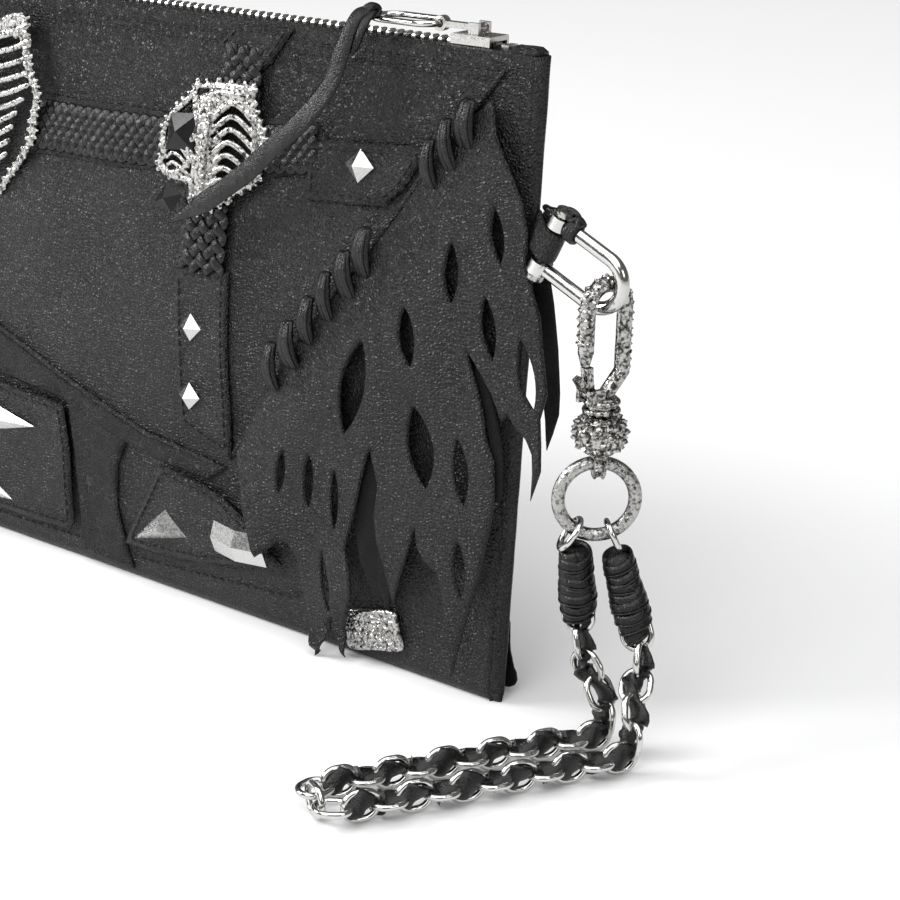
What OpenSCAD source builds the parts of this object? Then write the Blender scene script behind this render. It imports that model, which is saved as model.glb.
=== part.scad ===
// Zipped leather pouch with openwork ornaments, a fringed flap and a laced chain wristlet.
// Millimetres. X runs to the chain side, Y to the back, Z up. The origin is the middle of the base.

/* [Pouch] */
// Width of the pouch along the zip
pouch_w = 300; // [260:5:340]
// Height from the base to the top edge
pouch_h = 180; // [160:5:200]
// How far the top of the front leans back over its height
lean_back = 9.9; // [0:0.1:14]
// Thickness of the pouch at its side seams
seam_t = 6; // [5:0.5:8]
// Extra depth of the back panel at the middle of the base
belly = 20; // [10:1:24]
// Forward swell of the front panel
swell = 6; // [2:0.5:9]
// Thickness of the shell leather
leather_t = 1.5; // [1.2:0.1:2]

/* [Zip] */
// Pitch of the zip teeth
tooth_pitch = 3; // [2.8:0.1:3.2]
// Middle of the slider at rest
slider_x = 128; // [120:1:130]

/* [Chain] */
// Half length of a link, at the middle of its wire
link_l = 4.7; // [4.6:0.1:4.9]
// Half width of a link, at the middle of its wire
link_w = 3.8; // [3.7:0.1:3.9]
// Radius of the link wire
link_r = 0.9; // [0.8:0.05:0.95]
// Distance between the wires of two hooked links
hooked = 2; // [1.9:0.05:2.1]

/* [Wristlet] */
// Place of the hanging line of hook and ring, to the right
hang_x = 179.5; // [178:0.5:182]
// Place of the hanging line, front to back
hang_y = -8; // [-9:0.5:-7]
// Height of the middle of the ring
ring_z = 67.5; // [66:0.5:69]
// Radius of the ring, at the middle of its wire
ring_r = 10.2; // [9.8:0.1:10.6]
// Radius of the ring wire
ring_wire = 1.8; // [1.6:0.1:1.9]
// Radius of the shackle bow, at the middle of its wire
bow_r = 7; // [6.8:0.1:7.4]
// Radius of the shackle wire
bow_wire = 1.9; // [1.7:0.1:2]

/* [Hidden] */

half_w = pouch_w / 2;
front_foot = -12;
panel_columns = 24;
panel_rows = 12;
top_depth = 11;
zip_y = front_foot + lean_back + top_depth / 2;
zip_half = 136;
tape_z = pouch_h - 1.4;
tooth_h = 2.4;

black = [0.07, 0.07, 0.075];
worn_black = [0.11, 0.11, 0.11];
silver = [0.62, 0.61, 0.59];
bright = [0.74, 0.73, 0.71];
jet = [0.02, 0.02, 0.02];

// ---- surfaces of the pouch ----

function side_shape(x) = 1 - pow(min(1, abs(x) / half_w), 4);
function edge_y(z) = front_foot + lean_back * z / pouch_h;
function rise(z) = sin(180 * max(0, min(1, z / pouch_h)));
function front_y(x, z) = edge_y(z) - swell * side_shape(x) * rise(z);
function back_depth(z) = belly * (1 - z / pouch_h) + (top_depth - seam_t) * z / pouch_h + 5 * rise(z);
// The back stays full nearer to the sides towards the top, where the zip holds it open.
function back_shape(x, z) = 1 - pow(min(1, abs(x) / half_w), 4 + 30 * pow(max(0, z) / pouch_h, 2));
function back_y(x, z) = edge_y(z) + seam_t + back_depth(z) * back_shape(x, z);

function quad(a, b, c, d) = [[a, b, c], [a, c, d]];
function flatten(lists) = [for (one = lists) for (item = one) item];

// A closed sheet between two grids of points that have the same rows and columns.
module slab(outer, inner) {
  rows = len(outer);
  cols = len(outer[0]);
  count = rows * cols;
  last_row = (rows - 1) * cols;
  faces = concat(
    flatten([for (i = [0:rows - 2]) for (j = [0:cols - 2])
      quad(i * cols + j, (i + 1) * cols + j, (i + 1) * cols + j + 1, i * cols + j + 1)]),
    flatten([for (i = [0:rows - 2]) for (j = [0:cols - 2])
      quad(count + i * cols + j, count + i * cols + j + 1,
           count + (i + 1) * cols + j + 1, count + (i + 1) * cols + j)]),
    flatten([for (i = [0:rows - 2])
      quad(i * cols, count + i * cols, count + (i + 1) * cols, (i + 1) * cols)]),
    flatten([for (i = [0:rows - 2])
      quad((i + 1) * cols - 1, (i + 2) * cols - 1, count + (i + 2) * cols - 1, count + (i + 1) * cols - 1)]),
    flatten([for (j = [0:cols - 2])
      quad(j, j + 1, count + j + 1, count + j)]),
    flatten([for (j = [0:cols - 2])
      quad(last_row + j, count + last_row + j, count + last_row + j + 1, last_row + j + 1)]));
  polyhedron(points = concat(flatten(outer), flatten(inner)), faces = faces, convexity = 6);
}

function lerp(a, b, t) = a + (b - a) * t;

// A leather piece that lies on the front panel, between two outlines of the same number of points.
// low and high are the distances of its two faces from the panel.
module front_piece(left, right, low, high, across = 2) {
  span = [for (i = [0:len(left) - 1]) [for (j = [0:across]) lerp(left[i], right[i], j / across)]];
  slab([for (line = span) [for (p = line) [p[0], front_y(p[0], p[1]) - high, p[1]]]],
       [for (line = span) [for (p = line) [p[0], front_y(p[0], p[1]) - low, p[1]]]]);
}

// ---- small hardware on the front ----

// Carries flat work drawn in X and Z to the front panel at one point, level with it.
module on_front(x, z, off) {
  slope_z = (front_y(x, z + 4) - front_y(x, z - 4)) / 8;
  slope_x = (front_y(x + 4, z) - front_y(x - 4, z)) / 8;
  translate([x, front_y(x, z) - off, z])
    rotate([90 - atan(slope_z), 0, atan(slope_x)])
      children();
}

// A four-sided pyramid stud.
module pyramid(w, h, tall) {
  polyhedron(points = [[-w / 2, 0, 0], [0, -h / 2, 0], [w / 2, 0, 0], [0, h / 2, 0], [0, 0, tall]],
             faces = [[0, 1, 2, 3], [1, 0, 4], [2, 1, 4], [3, 2, 4], [0, 3, 4]]);
}

// A three-sided stud over a triangle whose corners run anticlockwise.
module three_sided(a, b, c, tall) {
  middle = (a + b + c) / 3;
  polyhedron(points = [[a[0], a[1], 0], [b[0], b[1], 0], [c[0], c[1], 0], [middle[0], middle[1], tall]],
             faces = [[0, 1, 2], [1, 0, 3], [2, 1, 3], [0, 2, 3]]);
}

// ---- tubes ----

function unit(v) = v / norm(v);
function heading(path, i) = unit(path[min(i + 1, len(path) - 1)] - path[max(i - 1, 0)]);

// A tube along a path, with one radius at each point, oval if flat is under 1.
module tube(path, radii, sides, side_dir, flat = 1) {
  last = len(path) - 1;
  rings = [for (i = [0:last])
    let (t = heading(path, i), a = unit(cross(t, side_dir)), b = cross(t, a))
    for (k = [0:sides - 1])
      path[i] + radii[i] * (cos(360 * k / sides) * a * flat + sin(360 * k / sides) * b)];
  around = flatten([for (i = [0:last - 1]) for (k = [0:sides - 1])
    let (n = (k + 1) % sides)
    quad(i * sides + k, i * sides + n, (i + 1) * sides + n, (i + 1) * sides + k)]);
  caps = [[for (k = [sides - 1:-1:0]) k], [for (k = [0:sides - 1]) last * sides + k]];
  polyhedron(points = rings, faces = concat(caps, around), convexity = 8);
}

// ---- pouch shell ----

xs = [for (i = [0:panel_columns]) half_w * sin(180 * i / panel_columns - 90)];
zs = [for (j = [0:panel_rows]) pouch_h * j / panel_rows];

module front_panel() {
  color(black)
    slab([for (x = xs) [for (z = zs) [x, front_y(x, z), z]]],
         [for (x = xs) [for (z = zs) [x, front_y(x, z) + leather_t, z]]]);
}

module back_panel() {
  color(black)
    slab([for (x = xs) [for (z = zs) [x, back_y(x, z) - leather_t, z]]],
         [for (x = xs) [for (z = zs) [x, back_y(x, z), z]]]);
}

// Flat foot between the two panels.
base_gap = 0.1;
module base_strip() {
  color(black)
    linear_extrude(leather_t)
      polygon(concat([for (x = xs) [x, front_y(x, 0) + leather_t + base_gap]],
                     [for (i = [panel_columns:-1:0]) [xs[i], back_y(xs[i], 0) - leather_t - base_gap]]));
}

// Piped seams that close the two ends.
piping_r = 1.3;
module edge_piping() {
  color(black)
    for (side = [-1, 1])
      tube([for (z = [0:15:pouch_h]) [side * (half_w + piping_r + 0.2), edge_y(z) + seam_t / 2, max(z, 1.5)]],
           [for (z = [0:15:pouch_h]) piping_r], 8, [0, 1, 0]);
}

// ---- inside ----

lining_in = 0.8;
lining_xs = [for (i = [0:12]) -140 + 280 * i / 12];
lining_zs = [for (j = [0:6]) 4 + 166 * j / 6];
module lining() {
  color([0.2, 0.2, 0.21]) {
    slab([for (x = lining_xs) [for (z = lining_zs) [x, front_y(x, z) + leather_t + 0.5, z]]],
         [for (x = lining_xs) [for (z = lining_zs) [x, front_y(x, z) + leather_t + 0.5 + lining_in, z]]]);
    slab([for (x = lining_xs) [for (z = lining_zs) [x, back_y(x, z) - leather_t - 0.5 - lining_in, z]]],
         [for (x = lining_xs) [for (z = lining_zs) [x, back_y(x, z) - leather_t - 0.5, z]]]);
  }
}

pocket_xs = [for (i = [0:6]) -60 + 120 * i / 6];
pocket_zs = [for (j = [0:4]) 40 + 90 * j / 4];
module slip_pocket() {
  color([0.16, 0.16, 0.17])
    slab([for (x = pocket_xs) [for (z = pocket_zs) [x, back_y(x, z) - leather_t - 2.4, z]]],
         [for (x = pocket_xs) [for (z = pocket_zs) [x, back_y(x, z) - leather_t - 1.6, z]]]);
}

// ---- zip ----

module zip_tapes() {
  color(black)
    for (side = [-1, 1])
      translate([0, zip_y + side * 1.95, tape_z])
        cube([2 * zip_half + 6, 2.5, 0.8], center = true);
}

module teeth_row(shift, side) {
  count = floor(2 * zip_half / tooth_pitch);
  for (i = [0:count - 1])
    translate([-zip_half + tooth_pitch * (i + shift), zip_y + side * 1.1, tape_z + 0.5 + tooth_h / 2])
      cube([1.3, 2.9, tooth_h], center = true);
}

module zip_teeth_front() { color(silver) teeth_row(0.25, -1); }
module zip_teeth_back() { color(silver) teeth_row(0.75, 1); }

module zip_stops() {
  color(silver)
    for (side = [-1, 1])
      translate([side * (zip_half + 2), zip_y, tape_z + 0.5 + tooth_h / 2])
        cube([2.2, 4.4, tooth_h], center = true);
}

// Folded leather that closes each end of the zip.
module zip_end_tabs() {
  color(black)
    for (side = [-1, 1])
      translate([side * (half_w - 4.4), edge_y(pouch_h) + 3.1, pouch_h + 1.2])
        cube([8.4, 6, 1.8], center = true);
}

// ---- straps and braids on the front ----

module braid_band() {
  color(worn_black) {
    front_piece([[-33, 148], [-20, 148.5], [0, 149], [21, 149.5]],
                [[-31, 133], [-20, 133], [0, 133], [22, 134]], 0.3, 2.3);
    front_piece([[62, 150], [70, 152], [78, 152], [84, 149]],
                [[60, 135], [68, 136], [76, 141], [81, 146]], 0.3, 2.3);
  }
}

module braid_drop() {
  color(worn_black) {
    front_piece([[42, 171.5], [41, 162.5]], [[59, 167.5], [58.5, 161]], 0.3, 2.1);
    front_piece([[31, 122], [31, 113], [30.5, 108.6]], [[51.5, 124], [51.5, 115], [51.5, 109.8]], 0.3, 2.1);
  }
}

module top_tab() {
  color(black)
    front_piece([[48, 179], [42, 173], [43, 171.8]], [[66, 179], [61, 169], [59.5, 168]], 0.3, 1.6);
}

module vertical_strap() {
  color(black)
    front_piece([[30.5, 107], [31.5, 90], [32.5, 70], [33, 54]],
                [[51.5, 108.4], [52.5, 92], [53.5, 72], [54, 51.5]], 0.3, 1.6);
}

module right_strap() {
  color(black)
    front_piece([[85, 150.5], [95, 151], [108, 152], [118, 152.5]],
                [[80, 133.5], [92, 135], [102, 136.5], [110, 138]], 0.3, 1.6);
}

module pyramid_studs() {
  color(silver) {
    on_front(38.2, 89, 1.7) pyramid(8.5, 8.5, 3);
    on_front(38.2, 67.6, 1.7) pyramid(8.5, 8.5, 3);
    on_front(97.2, 145.2, 1.7) pyramid(10, 9.5, 3.4);
  }
}

// ---- openwork ornaments ----

// A flat bar between two points of the ornament's plane.
module bar(a, b, w, t) {
  along = b - a;
  translate([a[0], a[1], 0])
    rotate([0, 0, atan2(along[1], along[0])])
      translate([0, -w / 2, 0])
        cube([norm(along), w, t]);
}

ornament_t = 1.8;
left_rib_count = 9;
module left_ornament() {
  rim = [[20, 22], [22, 8], [25, -2], [27, -10], [22, -18], [14, -24]];
  spine = [[-4, 22], [-6, 8], [-6, -4], [-5, -14], [-4, -24], [-2, -36]];
  color(silver)
    on_front(-57, 151, 2.6) {
      for (line = [rim, spine])
        for (i = [0:len(line) - 2])
          bar(line[i], line[i + 1], 3, ornament_t);
      bar(rim[0], spine[0], 3, ornament_t);
      bar(rim[5], spine[5], 3, ornament_t);
      for (i = [1:left_rib_count])
        let (f = i / (left_rib_count + 1))
          bar([-5.5, 22 - 46 * f], [20 + 5 * sin(180 * f), 26 - 46 * f], 1.6, ornament_t * 0.7);
    }
}

middle_rib_count = 7;
module middle_ornament() {
  top_left = [-7, 18];
  top_right = [15, 17];
  right_tip = [18, 3];
  low_right = [15, -4];
  foot = [-6, -18];
  left_tip = [-20, -7];
  ring_points = [top_left, top_right, right_tip, low_right, foot, left_tip];
  spine_top = [3, 15];
  spine_foot = [-5, -16];
  color(silver)
    on_front(43, 140, 2.9) {
      for (i = [0:5])
        bar(ring_points[i], ring_points[(i + 1) % 6], 3, ornament_t);
      bar(spine_top, spine_foot, 2.6, ornament_t);
      for (i = [1:middle_rib_count])
        let (f = i / (middle_rib_count + 1))
          bar(lerp(spine_top, spine_foot, f), lerp([15, 16], [8, -8], f) + [2 * sin(180 * f), 1],
              1.5, ornament_t * 0.7);
      bar([-4, -8], [-13, -2], 1.5, ornament_t * 0.7);
      bar([-5, -11], [-14, -6], 1.5, ornament_t * 0.7);
    }
}

module black_stones() {
  color(jet)
    on_front(43, 140, 4.9) {
      translate([-10, 7, 0]) rotate([0, 0, 45]) pyramid(17, 14, 3);
      translate([-13, -13, 0]) rotate([0, 0, 20]) pyramid(12, 9, 2.6);
    }
}

// ---- lower front ----

module distressed_band() {
  color(worn_black)
    front_piece([[-146, 88], [-120, 84], [-84, 80], [-50, 72], [-21, 62], [-3, 56], [18, 50], [26, 49]],
                [[-146, 58], [-120, 57], [-84, 56], [-50, 55], [-22, 53.5], [-5, 48], [14, 43], [24, 42]],
                0.3, 1.4, 3);
}

module distressed_strip() {
  color(worn_black)
    front_piece([[-14, 50], [-13, 36], [-12, 20], [-11, 3.5]], [[9, 44], [3, 30], [4, 16], [8, 3.5]],
                0.3, 1.4);
}

module stud_patches() {
  color(black) {
    front_piece([[-146, 56], [-120, 55.5], [-84, 54], [-50, 53], [-15, 51.5]],
                [[-146, 14], [-120, 12], [-84, 11], [-50, 10.5], [-15, 10]], 1.7, 2.8, 3);
    front_piece([[26, 41.5], [38, 40], [50, 38], [64, 32]], [[10, 13], [30, 13.5], [46, 16], [72, 20]],
                1.7, 2.8, 3);
  }
}

module plate_studs() {
  color(bright) {
    on_front(-48, 41, 3) three_sided([-16, 9], [-12, -6], [18, 2], 3.4);
    on_front(-50, 22, 3) three_sided([-16, 8], [-10, -9], [10, -8], 3.4);
    on_front(26, 21, 3) three_sided([-13, -6], [13, 1], [3, 9], 3.4);
    on_front(60, 26, 3)
      intersection() {
        translate([-10.5, -5, 0]) cube([21, 10, 5]);
        pyramid(44, 26, 4.8);
      }
  }
}

// Small cast plate with a rough face and no lettering.
module textured_plate() {
  color(silver)
    on_front(109, 11, 0.4)
      rotate([0, 0, 14]) {
        translate([-10, -6.2, 0]) cube([20, 12.4, 1.2]);
        for (i = [0:4])
          for (j = [0:2])
            translate([-7.6 + 3.8 * i, -4 + 4 * j, 1])
              sphere(r = 1.2, $fn = 16);
      }
}

// ---- fringe ----

flap_low = 4.2;
flap_high = 5.2;
flap_top = [[53, 50], [63, 66], [74, 84], [86, 101], [98, 115], [110, 131], [123, 153], [132, 163], [140, 168]];
flap_end = [[60, 36], [74, 32], [84, 9], [97, 10], [108, 26], [122, 22], [138, 12], [149, 34], [154, 62]];
module fringe_flap() {
  color(black)
    slab([for (i = [0:8]) [for (j = [0:6]) let (p = lerp(flap_top[i], flap_end[i], j / 6))
           [p[0], front_y(min(p[0], half_w), p[1]) - flap_high, p[1]]]],
         [for (i = [0:8]) [for (j = [0:6]) let (p = lerp(flap_top[i], flap_end[i], j / 6))
           [p[0], front_y(min(p[0], half_w), p[1]) - flap_low, p[1]]]]);
}

// Narrow strip that hangs free beside the seam, under the side tab.
module side_fringe() {
  color(black)
    slab([[[153.2, -2, 118], [153.2, -2.6, 96], [156.4, -3, 74]],
          [[160.5, -2, 118], [160.5, -2.6, 96], [157.2, -3, 74]]],
         [[[153.2, -0.8, 118], [153.2, -1.4, 96], [156.4, -1.8, 74]],
          [[160.5, -0.8, 118], [160.5, -1.4, 96], [157.2, -1.8, 74]]]);
}

// Ragged strips that hang from the back of the seam at the foot.
module back_fringe() {
  color(black)
    for (k = [0:2])
      translate([126 + 7 * k, back_y(122 + 7 * k, 28) + 1.9 + 0.5 * k, 1.2])
        rotate([0, 0, -20])
          linear_extrude(26 - 4 * k)
            square([6, 0.9], center = true);
}

// Leather lacing that whips the flap to the pouch along its slanted seam.
lace_low = [[73, 84], [80, 92], [86, 100], [92, 108], [98, 115], [103.5, 122]];
lace_high = [[123, 149], [128.5, 155], [134, 161]];
module whip_stitch(p) {
  on_front(p[0], p[1], 7.2)
    rotate([0, 0, -14])
      rotate([90, 0, 0])
        cylinder(r = 1.7, h = 12, center = true, $fn = 20);
}

module whip_lacing() {
  color(jet) {
    for (p = lace_low) whip_stitch(p);
    for (p = lace_high) whip_stitch(p);
  }
}

// ---- slider, puller and thong ----

bridge_z = 184.9;
puller_end = 12.5;
module zip_slider() {
  color(silver) {
    translate([slider_x, zip_y, 182.6]) cube([13, 8.4, 1.3], center = true);
    for (side = [-1, 1])
      translate([slider_x, zip_y + side * 3.9, 181.7]) cube([13, 0.9, 2], center = true);
    for (side = [-1, 1])
      translate([slider_x, zip_y + side * 2.4, bridge_z - 0.3]) cube([3.4, 1, 3.6], center = true);
    translate([slider_x, zip_y, bridge_z]) rotate([90, 0, 0]) cylinder(r = 0.7, h = 5, center = true, $fn = 24);
  }
}

module zip_puller() {
  color(silver)
    translate([slider_x, zip_y, bridge_z])
      difference() {
        union() {
          rotate([90, 0, 0]) cylinder(r = 1.3, h = 3.4, center = true, $fn = 32);
          translate([-puller_end / 2, 0, 0]) cube([puller_end, 2.4, 1.6], center = true);
          translate([-puller_end, 0, 0]) rotate([90, 0, 0]) cylinder(r = 2.1, h = 2.4, center = true, $fn = 32);
        }
        rotate([90, 0, 0]) cylinder(r = 0.76, h = 8, center = true, $fn = 32);
        translate([-puller_end, 0, 0]) rotate([90, 0, 0]) cylinder(r = 1.15, h = 8, center = true, $fn = 32);
      }
}

oval_w = 5.6;
oval_l = 5.4;
oval_wire = 0.9;
module puller_ring() {
  color(silver)
    translate([slider_x - puller_end - oval_w - oval_l, zip_y, bridge_z]) {
      for (side = [-1, 1]) {
        translate([side * oval_l, 0, 0])
          rotate([0, 0, side * -90])
            rotate_extrude(angle = 180, $fn = 48) translate([oval_w, 0]) circle(r = oval_wire, $fn = 20);
        translate([0, side * oval_w, 0])
          rotate([0, 90, 0]) cylinder(r = oval_wire, h = 2 * oval_l, center = true, $fn = 20);
      }
    }
}

// Points of the free thong, from its knot on the ring down the front.
thong_path = [[96, -3, 187.4], [95, -7, 186.4], [94, -10, 182], [93, -12, 176], [91, -14, 168], [87, -16.5, 161],
              [82, -18.5, 155], [75, -19.5, 149], [67, -19.8, 142], [59, -20, 136], [50, -20.2, 130],
              [43, -20.3, 126], [36, -20.3, 122]];
thong_r = 1.3;
module thong() {
  color(jet)
    tube(thong_path, [for (p = thong_path) thong_r], 8, [0, 1, 0.3]);
}

// ---- side tab and shackle ----

pin_at = [161.2, hang_y, 133.5];
shackle_tilt = 25;
leg = 17.3;
eye_half = bow_r;
pin_r = 1.5;
pin_clear = 0.06;

module shackle_frame() { translate(pin_at) rotate([0, shackle_tilt, 0]) children(); }

tab_w = 8.6;
tab_r = 3.2;
tab_reach = 8.6;
module side_tab() {
  color(black)
    shackle_frame()
      difference() {
        union() {
          cylinder(r = tab_r, h = tab_w, center = true, $fn = 48);
          rotate([0, 0, 152]) translate([tab_reach / 2, 0, 0]) cube([tab_reach, 3, tab_w - 0.6], center = true);
        }
        cylinder(r = pin_r + pin_clear, h = 20, center = true, $fn = 48);
      }
}

module shackle() {
  color(silver)
    shackle_frame()
      difference() {
        union() {
          for (side = [-1, 1]) {
            translate([0, 0, side * eye_half]) cylinder(r = 3.1, h = 3.6, center = true, $fn = 48);
            translate([leg / 2 + 1, 0, side * bow_r]) rotate([0, 90, 0])
              cylinder(r = bow_wire, h = leg - 2, center = true, $fn = 32);
          }
          translate([leg, 0, 0]) rotate([90, 0, 0]) rotate([0, 0, -90])
            rotate_extrude(angle = 180, $fn = 64) translate([bow_r, 0]) circle(r = bow_wire, $fn = 32);
        }
        cylinder(r = pin_r + pin_clear / 2, h = 24, center = true, $fn = 48);
      }
}

module shackle_pin() {
  color(silver)
    shackle_frame() {
      cylinder(r = pin_r, h = 2 * eye_half + 5, center = true, $fn = 48);
      translate([0, 0, eye_half + 2.9]) cylinder(r = 2.4, h = 1.6, center = true, $fn = 32);
      translate([0, 0, -eye_half - 2.9]) cylinder(r = 2.4, h = 1.6, center = true, $fn = 32);
    }
}

// Thin leather lace tied round the upper leg of the shackle.
module lace_knot() {
  color(jet)
    shackle_frame()
      translate([5.2, 0, bow_r])
        rotate([0, 90, 0])
          rotate_extrude($fn = 40) translate([bow_wire + 1.05, 0]) circle(r = 0.95, $fn = 20);
}

// ---- swivel hook ----

hook_turn = -17.5;
bow_low_z = 119.6;
hook_arch = 123.9;
neck_z = 95.2;
gate_at = [-4.6, 97.6];
module hook_frame() { translate([hang_x, hang_y, 0]) rotate([0, 0, hook_turn]) children(); }

arch_r = 6.1;
arm_r = 2.1;
arch_z = hook_arch - arch_r + arm_r;
arm_foot = 102;
tip_top = 108.5;

// A round rod between two places in the hook's plane, given front to back and in height.
module rod(a, b, r) {
  way = b - a;
  translate([0, a[0], a[1]])
    rotate([-atan2(way[0], way[1]), 0, 0])
      cylinder(r = r, h = norm(way), $fn = 40);
}

module hook_body() {
  color(silver)
    hook_frame()
      difference() {
        union() {
          translate([0, 0, arch_z]) rotate([0, 0, 90]) rotate([90, 0, 0])
            rotate_extrude(angle = 180, $fn = 64) translate([arch_r, 0]) circle(r = arm_r, $fn = 40);
          rod([arch_r, arch_z + 0.01], [arch_r, arm_foot], arm_r);
          translate([0, arch_r, arm_foot]) sphere(r = arm_r, $fn = 40);
          rod([arch_r, arm_foot], [0.6, 95.6], arm_r);
          rod([-arch_r, arch_z + 0.01], [-arch_r, tip_top], arm_r);
          translate([0, -arch_r, tip_top - 3.4]) cylinder(r1 = 1.2, r2 = arm_r, h = 3.41, $fn = 40);
          translate([0, 0, neck_z - 3.6]) cylinder(r = 4, h = 4.2, $fn = 48);
          for (side = [-1, 1])
            translate([side * 2.3, gate_at[0] + 0.8, gate_at[1] - 0.9]) cube([1.3, 5, 4], center = true);
        }
        translate([0, 0, neck_z - 5]) cylinder(r = 1.65, h = 4.2, $fn = 48);
        translate([0, gate_at[0], gate_at[1]]) rotate([0, 90, 0]) cylinder(r = 0.66, h = 10, center = true, $fn = 32);
      }
}

module hook_gate() {
  color(silver)
    hook_frame()
      difference() {
        union() {
          translate([0, gate_at[0], gate_at[1]]) rotate([0, 90, 0]) cylinder(r = 1.6, h = 2.8, center = true, $fn = 32);
          translate([0, gate_at[0] - 0.5, gate_at[1] + 3.7]) rotate([7, 0, 0]) cube([2.6, 2.2, 6.6], center = true);
          translate([0, gate_at[0] - 2.6, gate_at[1] + 2.6]) rotate([35, 0, 0]) cube([2.6, 1.8, 4.4], center = true);
        }
        translate([0, gate_at[0], gate_at[1]]) rotate([0, 90, 0]) cylinder(r = 0.66, h = 10, center = true, $fn = 32);
      }
}

module gate_pin() {
  color(silver)
    hook_frame()
      translate([0, gate_at[0], gate_at[1]]) rotate([0, 90, 0]) cylinder(r = 0.6, h = 6.4, center = true, $fn = 32);
}

ring_turn = 42;
eye_z = ring_z + ring_r;
module ring_frame() { translate([hang_x, hang_y, 0]) rotate([0, 0, ring_turn]) children(); }

module swivel_eye() {
  color(silver)
    ring_frame()
      difference() {
        union() {
          translate([0, 0, 80.5])
            rotate_extrude($fn = 64)
              polygon([[0, 0], [4, 0], [6.4, 3], [6.9, 5.6], [6.2, 8], [3.6, 10.6], [0, 10.6]]);
          translate([0, 0, 91]) cylinder(r = 1.6, h = neck_z - 92.1, $fn = 48);
          translate([0, 0, eye_z + 1]) cylinder(r = 2.4, h = 4, $fn = 32);
          translate([0, 0, eye_z]) rotate([0, 90, 0]) cylinder(r = 4, h = 3.2, center = true, $fn = 48);
        }
        translate([0, 0, eye_z]) rotate([0, 90, 0]) cylinder(r = ring_wire + 0.35, h = 12, center = true, $fn = 48);
      }
}

module ring() {
  color(bright)
    ring_frame()
      translate([0, 0, ring_z]) rotate([90, 0, 0])
        rotate_extrude($fn = 96) translate([ring_r, 0]) circle(r = ring_wire, $fn = 32);
}

// ---- chain ----
// The strands are set out from the hanging line: X across the strands, -Y along the floor run.

chain_turn = -27;
module chain_frame() { translate([hang_x, hang_y, 0]) rotate([0, 0, chain_turn]) children(); }

step = 2 * link_l - hooked;
floor_z = link_w + link_r + 0.35;
bend_y = -2;
lane_a = 13;
lane_b = 27;
across = [1, 0, 0];
up = [0, 0, 1];
run = [0, -1, 0];

module oval_link() {
  straight = link_l - link_w;
  for (side = [-1, 1]) {
    translate([side * straight, 0, 0])
      rotate([0, 0, side * -90])
        rotate_extrude(angle = 180, $fn = 40) translate([link_w, 0]) circle(r = link_r, $fn = 16);
    translate([0, side * link_w, 0])
      rotate([0, 90, 0]) cylinder(r = link_r, h = 2 * straight, center = true, $fn = 16);
  }
}

// Sets a link at a place, with its length along one direction and its flat across another.
module set_link(at, along, face) {
  a = unit(along);
  n = unit(face - (face * a) * a);
  b = cross(n, a);
  multmatrix([[a[0], b[0], n[0], at[0]], [a[1], b[1], n[1], at[1]], [a[2], b[2], n[2], at[2]], [0, 0, 0, 1]])
    oval_link();
}

// Directions of the four hanging links of each strand, from the floor bend upwards.
hang_a = [[0.02, 0.1, 1], [-0.45, -0.22, 0.86], [-0.55, -0.3, 0.78], [-0.3, 0, 0.95]];
hang_b = [[0.02, 0.1, 1], [-0.5, 0.28, 0.82], [-0.6, 0.45, 0.66], [-0.4, 0.3, 0.86]];
bend_a = [lane_a, bend_y, floor_z];
bend_b = [lane_b, bend_y, floor_z];

function climb(from, dirs, n) = n == 0 ? from : climb(from, dirs, n - 1) + step * unit(dirs[n - 1]);

foot_a = climb(bend_a, hang_a, 4);
foot_b = climb(bend_b, hang_b, 4);
// Line through the feet of both bindings, about which the hanging links swing.
foot_line = unit(foot_b - foot_a);

// The strand turns from the foot line at its top link to the lanes' own direction at its lowest.
function hang_turn(n) = unit(lerp(across, foot_line, n / 3));
function hang_face(n, dir) = n % 2 == 0 ? cross(hang_turn(n), dir) : hang_turn(n);

module hanging_links(bend, dirs) {
  for (n = [0:3])
    let (dir = unit(dirs[n]), low = climb(bend, dirs, n))
      set_link(low + link_l * dir, dir, hang_face(n, dir));
}

module floor_run(bend, first, count) {
  for (n = [first:first + count - 1])
    set_link(bend + run * (step * n + link_l - hooked), run, n % 2 == 0 ? across : up);
}

// A soft lace that weaves along a straight stretch.
lace_r = 1.9;
module weave(from, to, swing, waves, side) {
  count = 4 * waves;
  way = unit(to - from);
  path = [for (i = [0:count]) lerp(from, to, i / count) + swing * sin(90 * i) * side];
  tube(path, [for (p = path) lace_r], 8, cross(way, side));
}

first_run = 6;
second_run = 5;
lace_inset = 4.6;
module floor_lace(bend, first, count) {
  start = bend + run * (step * first + lace_inset - hooked);
  stop = bend + run * (step * (first + count) - lace_inset);
  weave(start, stop, 1.6, count - 2, [0.8, 0, 0.6]);
}

module hanging_lace(bend, dirs) {
  low = bend + 7 * unit(dirs[0]);
  high = climb(bend, dirs, 4) - 5 * unit(dirs[3]);
  middle = climb(bend, dirs, 2);
  path = [low, low + [0.6, 0.5, 3], lerp(low, middle, 0.85), middle + [0.6, 0, 1.4], lerp(middle, high, 0.5), high];
  color(jet) tube(path, [for (p = path) lace_r], 8, across);
}

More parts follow.
